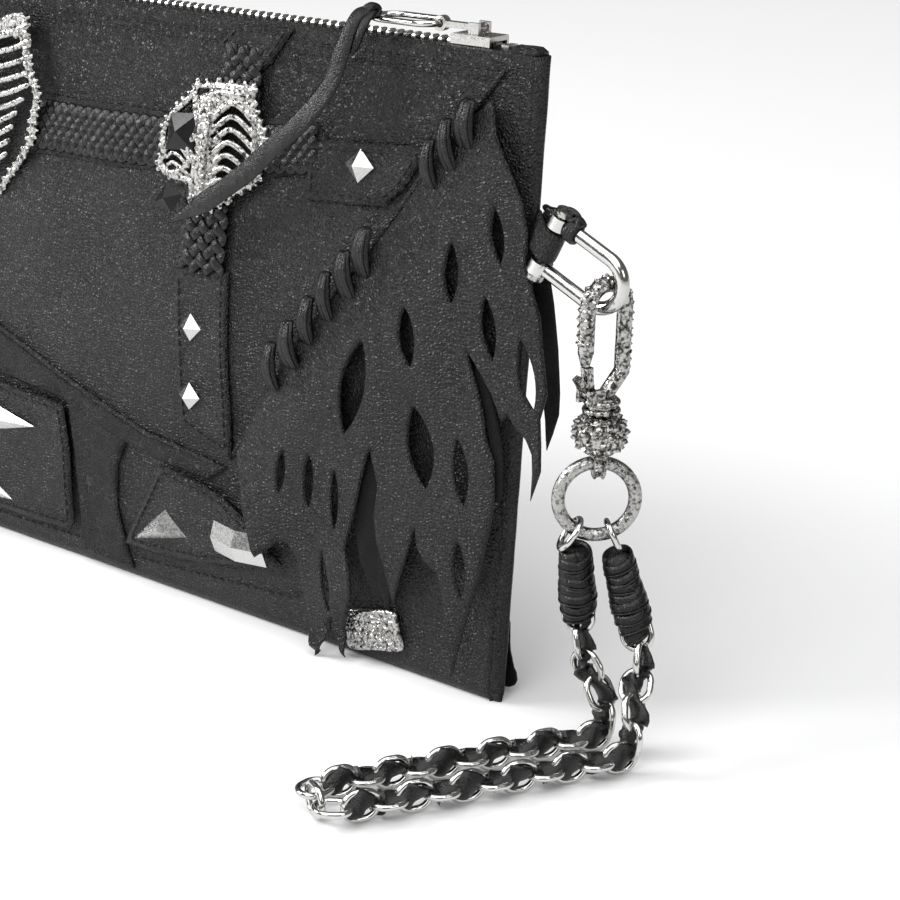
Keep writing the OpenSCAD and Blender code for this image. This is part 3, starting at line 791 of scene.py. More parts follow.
def inside(points: np.ndarray, outline: Sequence[Flat]) -> np.ndarray:
    """Which points lie inside an outline."""
    result = np.zeros(len(points), bool)
    o = np.array(outline, float)
    a, b = o, np.roll(o, -1, 0)
    for (ax, ay), (bx, by) in zip(a, b):
        if ay == by:
            continue
        crosses = (ay > points[:, 1]) != (by > points[:, 1])
        at = (bx - ax) * (points[:, 1] - ay) / (by - ay) + ax
        result ^= crosses & (points[:, 0] < at)
    return result


def edge_distance(points: np.ndarray, outlines: Iterable[Sequence[Flat]]) -> np.ndarray:
    """Distance of points to the nearest outline."""
    best = np.full(len(points), 1e9)
    for outline in outlines:
        o = np.array(outline, float)
        for a, b in zip(o, np.roll(o, -1, 0)):
            d = b - a
            t = np.clip(((points - a) @ d) / max(1e-9, d @ d), 0, 1)
            best = np.minimum(best, np.hypot(*(points - a - t[:, None] * d).T))
    return best


Lift = Callable[[float, float], float]


def leather_cut(
    name: str,
    outline: Sequence[Flat],
    finish: bpy.types.Material,
    low: float | Lift,
    thick: float,
    holes: Sequence[Sequence[Flat]] = (),
    step: float = 2.2,
    soft: float = 0.9,
    place: Callable[[float, float, float], Vector] | None = None,
    relief: Lift | None = None,
) -> bpy.types.Object:
    """A cut piece of leather with rounded edges and exact holes, lying over a surface.

    Args:
        name: Name of the object.
        outline: Its edge, as X and Z in millimetres.
        finish: The material.
        low: Height of its underside above the surface, fixed or over the piece.
        thick: Its thickness.
        holes: Edges of its holes.
        step: Spacing of the mesh.
        soft: Width of the rounded edge.
        place: The surface, the front of the pouch if none is given.
        relief: Extra height of the upper face.

    Returns:
        The object.
    """
    where = place or SHAPE.place
    rim = dense(outline, min(step, 1.6))
    gaps = [dense(h, 1.0) for h in holes]
    o = np.array(rim)
    xs = np.arange(o[:, 0].min() + step * 0.37, o[:, 0].max(), step)
    zs = np.arange(o[:, 1].min() + step * 0.41, o[:, 1].max(), step * 0.87)
    grid = np.array([(x + (j % 2) * step / 2, z) for j, z in enumerate(zs) for x in xs])
    keep = inside(grid, rim) & (edge_distance(grid, [rim, *gaps]) > step * 0.45)
    for gap in gaps:
        keep &= ~inside(grid, gap)
    inner_rim = [
        (p[0] + n[0] * soft, p[1] + n[1] * soft) for loop in [rim, *gaps] for p,
        n in zip(loop, _inwards(loop, loop is not rim))
    ]
    rim_band = np.array(inner_rim)
    fine = inside(rim_band, rim) & (edge_distance(rim_band, [rim, *gaps]) > soft * 0.8)
    for gap in gaps:
        fine &= ~inside(rim_band, gap)
    verts = [Vector(p) for p in rim]
    edges = [(i, (i + 1) % len(rim)) for i in range(len(rim))]
    for gap in gaps:
        base = len(verts)
        verts += [Vector(p) for p in gap]
        edges += [(base + i, base + (i + 1) % len(gap)) for i in range(len(gap))]
    near = edge_distance(grid, [rim, *gaps]) > soft + step * 0.3 if len(grid) else keep
    verts += [Vector(p) for p in rim_band[fine]]
    if len(grid):
        verts += [Vector(p) for p in grid[keep & near]]
    flat, _, tris, *_ = geometry.delaunay_2d_cdt(verts, edges, [], 0, 1e-5)
    flat_points = np.array([tuple(v) for v in flat])
    middles = np.array([flat_points[list(t)].mean(0) for t in tris])
    wanted = inside(middles, rim)
    for gap in gaps:
        wanted &= ~inside(middles, gap)
    tris = [list(t) for t, w in zip(tris, wanted) if w]
    distance = edge_distance(flat_points, [rim, *gaps])
    count = len(flat_points)
    points: list[Vector] = []
    lift: Lift = low if callable(low) else (lambda _x, _z: float(low))
    for (x, z), d in zip(flat_points, distance):
        near_edge = min(1.0, d / soft)
        high = thick * (0.35 + 0.65 * math.sqrt(max(0.0, 1 - (1 - near_edge) ** 2)))
        if relief is not None:
            high += relief(x, z) * near_edge
        points.append(where(x, z, lift(x, z) + high))
    points += [where(x, z, lift(x, z)) for x, z in flat_points]
    used: dict[tuple[int, int], int] = {}
    for t in tris:
        for a, b in ((t[0], t[1]), (t[1], t[2]), (t[2], t[0])):
            used[(a, b)] = used.get((a, b), 0) + 1
    faces = [*tris, *[[count + i for i in reversed(t)] for t in tris]]
    for a, b in used:
        if (b, a) not in used:
            faces.append([b, a, count + a, count + b])
    made = piece(name, points, faces, finish)
    work = bmesh.new()
    work.from_mesh(made.data)
    loose = [v for v in work.verts if not v.link_faces]
    bmesh.ops.delete(work, geom=loose, context="VERTS")
    bmesh.ops.recalc_face_normals(work, faces=work.faces)
    work.to_mesh(made.data)
    work.free()
    return made


def _inwards(loop: Sequence[Flat], hole: bool) -> list[Flat]:
    """Directions from each point of a loop into the leather."""
    area = sum(a[0] * b[1] - b[0] * a[1] for a, b in zip(loop, [*loop[1:], loop[0]]))
    sign = (1 if area > 0 else -1) * (-1 if hole else 1)
    made: list[Flat] = []
    for i in range(len(loop)):
        a, b = loop[i - 1], loop[(i + 1) % len(loop)]
        dx, dz = b[0] - a[0], b[1] - a[1]
        size = math.hypot(dx, dz) or 1.0
        made.append((-dz / size * sign, dx / size * sign))
    return made


def stitch_part() -> bpy.types.Object:
    """One bowed stitch, about 2.4 mm long, along X."""
    path = [
        Vector((x, 0, 0.34 * math.cos(x / 1.25 * math.pi / 2) - 0.1))
        for x in (-1.25, -0.9, -0.4, 0, 0.4, 0.9, 1.25)
    ]
    return sweep(
        "stitch", path, bpy.data.materials["waxed_thread"], lambda f: 0.27 * rounded_end(f, 0.2, 0.3),
        lambda f: 0.22 * rounded_end(f, 0.2, 0.3), Vector((0, 1, 0)), 6
    )


def stitches(
    name: str, lines: Sequence[Sequence[Flat]], off: float | Lift, finish: bpy.types.Material,
    pitch: float = 3.1
) -> bpy.types.Object:
    """Rows of stitches over the front of the pouch.

    Args:
        name: Name of the object.
        lines: Seam lines, as X and Z in millimetres.
        off: Height above the leather, fixed or over the piece.
        finish: The thread's material.
        pitch: Distance between stitches.

    Returns:
        The object.
    """
    places: list[tuple[Vector, Matrix, Point]] = []
    lift: Lift = off if callable(off) else (lambda _x, _z: float(off))
    for line in lines:
        run = dense(line, 0.4, closed=False)
        travelled, due = 0.0, pitch / 2
        for a, b in zip(run, run[1:]):
            travelled += math.dist(a, b)
            if travelled >= due:
                due += pitch
                here = SHAPE.place(*b, lift(*b))
                along = here - SHAPE.place(*a, lift(*a))
                places.append((here, turn_of(along, SHAPE.normal(*b)), (1.0, 1.0, 1.0)))
    return Scatter.set_out(name, stitch_part(), places, finish)


def inset(outline: Sequence[Flat], gap: float) -> list[Flat]:
    """An outline moved inwards by a gap, closed by repeating its first point."""
    run = dense(outline, 1.0)
    arr = np.array([(p[0] + n[0] * gap, p[1] + n[1] * gap) for p, n in zip(run, _inwards(run, False))])
    good = edge_distance(arr, [run]) > gap * 0.93
    kept = [tuple(map(float, p)) for p, g in zip(arr, good) if g]
    return [*kept, kept[0]]


def lens(top: Flat, bottom: Flat, width: float) -> list[Flat]:
    """Edge of a knife slit that has opened."""
    a, b = Vector((top[0], top[1])), Vector((bottom[0], bottom[1]))
    way = b - a
    across = Vector((-way.y, way.x)).normalized()
    right = [a + way * t + across * width / 2 * math.sin(math.pi * t) ** 0.8 for t in np.linspace(0, 1, 9)]
    left = [
        a + way * t - across * width / 2 * math.sin(math.pi * t) ** 0.9 for t in np.linspace(1, 0, 9)
    ][1:-1]
    return [(p.x, p.y) for p in [*right, *left]]


# ---------------------------------------------------------------- shell, lining and zip


@dataclass
class Shell:
    """The leather bag: one bent sheet for front, base and back, its side seams and its inside."""

    wardrobe: Wardrobe
    columns: int = 150
    rows: int = 64

    def walls(self) -> bpy.types.Object:
        """Lofts front, base and back as one sheet with a wall."""
        s = SHAPE
        heights = [s.height * (1 - k / self.rows) for k in range(self.rows)]
        heights += [s.corner * f for f in (0.75, 0.5, 0.28, 0.12, 0.03)]
        heights = sorted({round(h, 4) for h in heights}, reverse=True)
        xs = [-s.half + 2 * s.half * i / self.columns for i in range(self.columns + 1)]
        points: list[Vector] = []
        for x in xs:
            front = [Vector((x, s.front(x, z), z)) for z in heights]
            back = [Vector((x, s.back(x, z), z)) for z in reversed(heights)]
            a, b = s.front(x, 0), s.back(x, 0)
            base = [Vector((x, a + (b - a) * t, 0)) for t in (0.0, 0.25, 0.5, 0.75, 1.0)]
            points += [*front, *base, *back]
        high = len(points) // len(xs)
        faces = [
            [i * high + j, (i + 1) * high + j, (i + 1) * high + j + 1, i * high + j + 1]
            for i in range(self.columns)
            for j in range(high - 1)
        ]
        bag = piece("leather_bag", points, faces, self.wardrobe.shell)
        centre = sum((Vector(v.co) for v in bag.data.vertices), Vector()) / len(bag.data.vertices)
        first = bag.data.polygons[self.rows // 2]
        if first.normal.y > 0 or (Vector(first.center) - centre).dot(first.normal) < 0:
            bag.data.flip_normals()
        wall = bag.modifiers.new("wall", "SOLIDIFY")
        wall.thickness, wall.offset = s.wall * MM, -1
        return applied(bag, self.wardrobe.shell)

    def side_seam(self, side: int) -> bpy.types.Object:
        """A turned seam that closes one end.

        Args:
            side: 1 for the chain side, -1 for the other.

        Returns:
            The object.
        """
        s = SHAPE
        points: list[Vector] = []
        rows = [s.height * k / 60 for k in range(61)]
        ring = 20
        for z in rows:
            y0, y1 = s.front(side * s.half, z), s.back(side * s.half, z)
            middle, half = (y0 + y1) / 2, max(0.6, (y1 - y0) / 2)
            for k in range(ring):
                a = 2 * math.pi * k / ring
                bulge = 2.6 + 0.25 * noise.noise(Vector((z / 9, a, 3.0)))
                waist = 1 - 0.22 * math.exp(-((math.sin(a) / 0.22) ** 2)) if math.cos(a) > 0 else 1.0
                out = max(0.0, math.cos(a)) * bulge * waist - max(0.0, -math.cos(a)) * 1.2
                points.append(Vector((side * (s.half - 0.3 + out), middle + half * math.sin(a), z)))
        faces = [
            [i * ring + k, i * ring + (k + 1) % ring, (i + 1) * ring + (k + 1) % ring, (i + 1) * ring + k]
            for i in range(60)
            for k in range(ring)
        ]
        faces += [[k for k in range(ring)], [60 * ring + k for k in range(ring - 1, -1, -1)]]
        return outward(
            piece(f"side_seam_{'right' if side > 0 else 'left'}", points, faces, self.wardrobe.shell)
        )

    def top_edge(self, front: bool) -> bpy.types.Object:
        """The turned edge beside the zip.

        Args:
            front: Whether it is the front one.

        Returns:
            The object.
        """
        s = SHAPE
        xs = [-s.half + 2 * s.half * i / 100 for i in range(101)]
        y = (lambda x: s.front(x, s.height) + 1.2) if front else (lambda x: s.back(x, s.height) - 1.2)
        path = [Vector((x, y(x), s.height - 0.5 + 0.2 * noise.noise(Vector((x / 15, 2, 5))))) for x in xs]
        return sweep(
            f"turned_edge_{'front' if front else 'back'}", path, self.wardrobe.shell, lambda f: 1.25,
            lambda f: 1.05, Vector((0, 1, 0)), 12
        )

    def lining(self) -> bpy.types.Object:
        """The loose cloth bag inside."""
        s = SHAPE
        heights = [170 - 166 * k / 30 for k in range(31)]
        xs = [-140 + 280 * i / 56 for i in range(57)]
        points: list[Vector] = []
        for x in xs:
            front = [Vector((x, s.front(x, z) + s.wall + 0.7, z)) for z in heights]
            back = [Vector((x, s.back(x, z) - s.wall - 0.7, z)) for z in reversed(heights)]
            points += [*front, *[front[-1].lerp(back[0], t) for t in (0.33, 0.66)], *back]
        high = len(points) // len(xs)
        faces = [
            [i * high + j, (i + 1) * high + j, (i + 1) * high + j + 1, i * high + j + 1]
            for i in range(56)
            for j in range(high - 1)
        ]
        cloth = piece("lining_cloth", points, faces, self.wardrobe.lining)
        wall = cloth.modifiers.new("wall", "SOLIDIFY")
        wall.thickness, wall.offset = 0.5 * MM, 0
        return applied(cloth, self.wardrobe.lining)

    def pocket(self) -> bpy.types.Object:
        """The flat pocket on the lining."""
        s = SHAPE
        outline = [(-60, 40), (60, 40), (60, 130), (-60, 130)]
        return leather_cut(
            "lining_pocket", outline, self.wardrobe.lining, 0.0, 0.7, step=5,
            place=lambda x, z, off: Vector((x, s.back(x, z) - s.wall - 1.6 - off, z)),
        )

    def build(self) -> None:
        """Builds the bag and hangs it on the frame."""
        w = self.wardrobe
        bag = self.walls()
        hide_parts("front_panel", "back_panel", "base_strip")
        seams = [self.side_seam(1), self.side_seam(-1)]
        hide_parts("edge_piping")
        edges = [self.top_edge(True), self.top_edge(False)]
        line = [
            [(-146 + 292 * k / 80, 175.6) for k in range(81)],
            [(-146 + 292 * k / 80, 172.9) for k in range(81)]
        ]
        sewn = stitches("top_stitches", line, 0.05, w.thread, 3.0)
        for made in (bag, *seams, *edges):
            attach(made, Body.POUCH)
        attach(sewn, Body.POUCH)
        cloth, pocket = self.lining(), self.pocket()
        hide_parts("lining")
        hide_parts("slip_pocket")
        for made in (cloth, pocket):
            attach(made, Body.POUCH)
        LOG.info("shell: bag, seams, edges, stitches, lining, pocket")


@dataclass
class Zip:
    """Tapes, teeth and end tabs."""

    wardrobe: Wardrobe
    y: float = 3.4
    half: float = 136.0
    tape_z: float = 178.6
    pitch: float = 3.0

    def tape(self, side: int) -> bpy.types.Object:
        """A woven tape with a corded edge."""
        xs = [-self.half - 3 + (2 * self.half + 6) * i / 140 for i in range(141)]
        section = [(0.75, -0.4), (0.75, 0.35), (1.1, 0.42), (1.5, 0.4), (2.4, 0.4), (3.2, 0.3), (3.2, -0.4)]
        points = [
            Vector(
                (x, self.y + side * a, self.tape_z + b + 0.08 * noise.noise(Vector((x / 6, a, 1))))
            ) for x in xs for a,
            b in section
        ]
        n = len(section)
        faces = [
            [i * n + k, i * n + (k + 1) % n, (i + 1) * n + (k + 1) % n, (i + 1) * n + k]
            for i in range(140)
            for k in range(n)
        ]
        faces += [list(range(n)), [140 * n + k for k in range(n - 1, -1, -1)]]
        return outward(
            piece(f"zip_tape_{'back' if side > 0 else 'front'}", points, faces, self.wardrobe.tape)
        )

    def teeth(self, side: int, shift: float) -> bpy.types.Object:
        """One row of waisted teeth."""
        outline = [
            (-0.62, -1.45), (0.62, -1.45), (0.5, -0.2), (0.66, 0.7), (0.4, 1.45), (-0.4, 1.45),
            (-0.66, 0.7), (-0.5, -0.2)
        ]
        points = [
            Vector((x, y, z)) for z in (0.0, 1.9) for x, y in outline
        ] + [Vector((x * 0.72, y * 0.86, 2.4)) for x, y in outline]
        faces = [
            [k + 8 * j, (k + 1) % 8 + 8 * j, (k + 1) % 8 + 8 + 8 * j, k + 8 + 8 * j]
            for j in (0, 1)
            for k in range(8)
        ]
        faces += [list(range(7, -1, -1)), list(range(16, 24))]
        tooth = outward(piece("tooth", points, faces, self.wardrobe.zip_metal, False))
        face = Matrix.Rotation(0 if side < 0 else math.pi, 3, "Z")
        places = [
            (
                Vector((-self.half + self.pitch * (i + shift), self.y + side * 1.1, self.tape_z + 0.5)),
                face, (1.0, 1.0, 1.0)
            )
            for i in range(int(2 * self.half / self.pitch))
        ]
        return Scatter.set_out(
            f"teeth_{'back' if side > 0 else 'front'}", tooth, places, self.wardrobe.zip_metal, False
        )

    def end_tab(self, side: int) -> bpy.types.Object:
        """Folded leather over one end of the zip."""
        made = leather_cut(
            f"zip_end_{'right' if side > 0 else 'left'}",
            [(side * x, y) for x, y in ((141.2, 0.3), (150.2, 0.3), (150.8, 3), (150.2, 5.9), (141.2, 5.9))],
            self.wardrobe.shell, 0.0, 1.9, step=1.2, soft=1.2,
            place=lambda x, y, off: Vector(
                (x, SHAPE.edge(180) + y, 180.2 + off + 0.2 * noise.noise(Vector((x / 4, y / 4, 0))))
            ),
        )
        return made

    def build(self) -> None:
        """Builds the zip's tapes, teeth and end tabs."""
        tapes = joined("zip_tape_pair", [self.tape(-1), self.tape(1)])
        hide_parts("zip_tapes")
        front, back = self.teeth(-1, 0.25), self.teeth(1, 0.75)
        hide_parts("zip_teeth_front")
        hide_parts("zip_teeth_back")
        tabs = joined("zip_end_pair", [self.end_tab(-1), self.end_tab(1)])
        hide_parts("zip_end_tabs")
        for made in (tapes, front, back, tabs):
            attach(made, Body.POUCH)
        LOG.info("zip: tapes, two rows of teeth, end tabs")


# ---------------------------------------------------------------- straps, braids and patches


@dataclass
class Trims:
    """Straps, braids, patches and their stitches on the front."""

    wardrobe: Wardrobe

    def strap(
        self, name: str, node: str, outline: Sequence[Flat], seams: Sequence[Sequence[Flat]],
        low: float = 0.25
    ) -> None:
        """A flat sewn strap with one or more rows of stitches.

        Args:
            name: Name of the strap.
            node: The frame's node that it stands for.
            outline: Its edge.
            seams: Its stitch lines.
            low: Height of its underside.
        """
        w = self.wardrobe
        made = leather_cut(
            name, outline, w.shell, low, 1.35,
            relief=lambda x, z: 0.22 * noise.noise(Vector((x / 7, z / 7, 8)))
        )
        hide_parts(node)
        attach(made, Body.POUCH)
        sewn = stitches(f"{name}_stitches", seams, low + 1.4, w.thread)
        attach(sewn, Body.POUCH)

    def braid(
        self, name: str, line: Sequence[Flat], half: float, node: str | None, turns: float, off: float = 1.4
    ) -> bpy.types.Object:
        """A flat braid of six leather strips.

        Args:
            name: Name of the braid.
            line: Its middle line.
            half: Half its width.
            node: The frame's node that it stands for.
            turns: How often a strip crosses over its length.
            off: Height of its middle above the leather.

        Returns:
            The object.
        """
        run = [Vector((p[0], p[1], 0)) for p in dense(line, 0.5, closed=False)]
        strips: list[bpy.types.Object] = []
        count = 6
        for k in range(count):
            path: list[Vector] = []
            for i, p in enumerate(run):
                f = i / (len(run) - 1)
                a, b = run[max(0, i - 1)], run[min(len(run) - 1, i + 1)]
                across = Vector((-(b - a).y, (b - a).x, 0)).normalized()
                phase = (f * turns + k / count) % 1.0
                swing = 4 * abs(phase - 0.5) - 1
                swing = math.copysign(min(abs(swing), 0.93) / 0.93, swing)
                edge = min(1.0, 2 * count * min(phase % 0.5, 0.5 - phase % 0.5))
                weave = math.cos(2 * math.pi * phase * count) * (1 if phase < 0.5 else -1) * edge
                q = p + across * half * swing * 0.82
                path.append(SHAPE.place(q.x, q.y, off + weave * 0.62))
            facing = SHAPE.normal(run[0].x, run[0].y)

            def side(f: float, path: list[Vector] = path, facing: Vector = facing) -> Vector:
                """Which way the strip's width lies."""
                i = round(f * (len(path) - 1))
                return facing.cross(path[min(i + 3, len(path) - 1)] - path[max(i - 3, 0)])

            strips.append(
                sweep(
                    f"{name}_{k}", path, self.wardrobe.lace, lambda f: 1.75 * rounded_end(f),
                    lambda f: 0.55 * rounded_end(f), side, 8
                )
            )
        made = joined(name, strips)
        if node:
            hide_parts(node)
        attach(made, Body.POUCH)
        return made

    def braid_frame(self, name: str, outline: Sequence[Flat], off: float = 0.2) -> bpy.types.Object:
        """The thin leather bed under a braid."""
        made = leather_cut(name, outline, self.wardrobe.worn, off, 0.7)
        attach(made, Body.POUCH)
        return made

    def fold(self, name: str, line: Sequence[Flat], size: float, off: float = 0.3) -> None:
        """A seam ridge, where two panels of the front are joined."""
        path = [
            SHAPE.place(x, z, off + 0.15 * noise.noise(Vector((x / 5, z / 5, 2)))) for x,
            z in dense(line, 2.0, closed=False)
        ]
        made = sweep(
            name, path, self.wardrobe.shell, lambda f: size * rounded_end(f),
            lambda f: size * 0.62 * rounded_end(f), Vector((0.4, 0, 1)), 10
        )
        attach(made, Body.POUCH)

    def build(self) -> None:
        """Builds every trim."""
        w = self.wardrobe
        tab = [(47, 179), (40, 172), (44, 169.5), (58, 166.5), (61, 169), (68, 179)]
        self.strap("top_tab_leather", "top_tab", tab, [inset(tab, 1.7)])
        upright = [
            (30.4, 106.6), (41, 107.2), (52, 108), (53, 80), (54.2, 50.5), (44, 53.6), (33.2, 57.4),
            (31.8, 80)
        ]
        self.strap("upright_strap", "vertical_strap", upright, [inset(upright, 2.2)])
        right = [(78, 150), (100, 151.6), (120, 153), (111, 139.5), (105, 134.5), (90, 133.6), (78, 133)]
        self.strap("right_strap_leather", "right_strap", right, [inset(right, 2.1)])
        bed = self.braid_frame(
            "braid_bed", [(-33, 149.5), (0, 150.3), (24, 150.6), (24, 133), (0, 132), (-31, 131.5)]
        )
        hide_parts("braid_band")
        self.braid_frame(
            "braid_bed_right",
            [
                (60, 153.4), (72, 154.4), (79, 154.4), (84, 151), (82, 144), (76, 140), (66, 137.4),
                (60, 136.8)
            ]
        )
        self.braid("braid_left", [(-33, 140.5), (0, 141.2), (24, 141.8)], 7.4, None, 2.4)
        self.braid("braid_right", [(60, 145), (70, 146), (81, 147.3)], 6.6, None, 0.9)
        self.braid("braid_top", [(51, 173), (51, 157)], 7.4, None, 0.6)
        self.braid("braid_low", [(41.3, 127), (41.3, 106.4)], 9.4, "braid_drop", 0.7)
        self.fold("seam_upper", [(124, 154), (134, 166), (141, 176)], 1.0)
        self.fold("seam_slant", [(54, 51), (74, 85), (104, 124), (122, 152)], 1.1)
        self.fold(
            "seam_left",
            [(-146, 90), (-120, 86), (-84, 81), (-50, 73), (-21, 63), (-3, 57), (18, 51), (50, 47)], 1.0
        )
        band = [
            (-147, 88), (-120, 84), (-84, 80), (-50, 72), (-21, 62), (-3, 56.5), (18, 50.5), (30, 49),
            (52, 47.6), (44, 42), (30, 43), (14, 45), (-5, 50), (-20, 55), (-50, 57), (-84, 58), (-120, 59),
            (-147, 60)
        ]
        worn_band = leather_cut(
            "worn_band", band, w.worn, 0.25, 1.1,
            relief=lambda x, z: 0.6 * noise.noise(Vector((x / 4, z / 4, 3)))
        )
        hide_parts("distressed_band")
        strip = [
            (-16, 55), (-6, 52), (10, 47), (6, 38), (5, 24), (9, 8), (11, 3.6), (-12, 3.2), (-13, 20),
            (-14, 36)
        ]
        worn_strip = leather_cut(
            "worn_strip", strip, w.worn, 0.25, 1.1,
            relief=lambda x, z: 0.6 * noise.noise(Vector((x / 4, z / 4, 7)))
        )
        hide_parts("distressed_strip")
        for made in (worn_band, worn_strip):
            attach(made, Body.POUCH)
        left = [
            (-147, 57), (-120, 56), (-84, 55), (-50, 54.5), (-17, 53), (-15, 38), (-15, 14), (-17, 10),
            (-50, 10), (-84, 10.5), (-120, 12), (-147, 14)
        ]
        right_patch = [
            (26, 43), (36, 41.5), (52, 38.5), (62, 33), (75, 22.5), (62, 18.5), (42, 14.5), (22, 12.6),
            (9, 12.4), (15, 24)
        ]
        pair = [
            leather_cut(f"stud_patch_{k}", o, w.shell, 1.5, 1.25) for k, o in enumerate((left, right_patch))
        ]
        patches = joined("stud_patch_pair", pair)
        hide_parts("stud_patches")
        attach(patches, Body.POUCH)
        sewn = stitches("patch_stitches", [inset(left, 2.2), inset(right_patch, 2.2)], 2.8, w.thread)
        low_line = [[(-147, 8), (-60, 7), (20, 8), (76, 12), (100, 22)]]
        sewn_low = stitches("base_stitches", low_line, 0.1, w.thread, 3.4)
        for made in (sewn, sewn_low):
            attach(made, Body.POUCH)
        LOG.info("trims: straps, braids, seams, bands, patches")


# ---------------------------------------------------------------- openwork ornaments


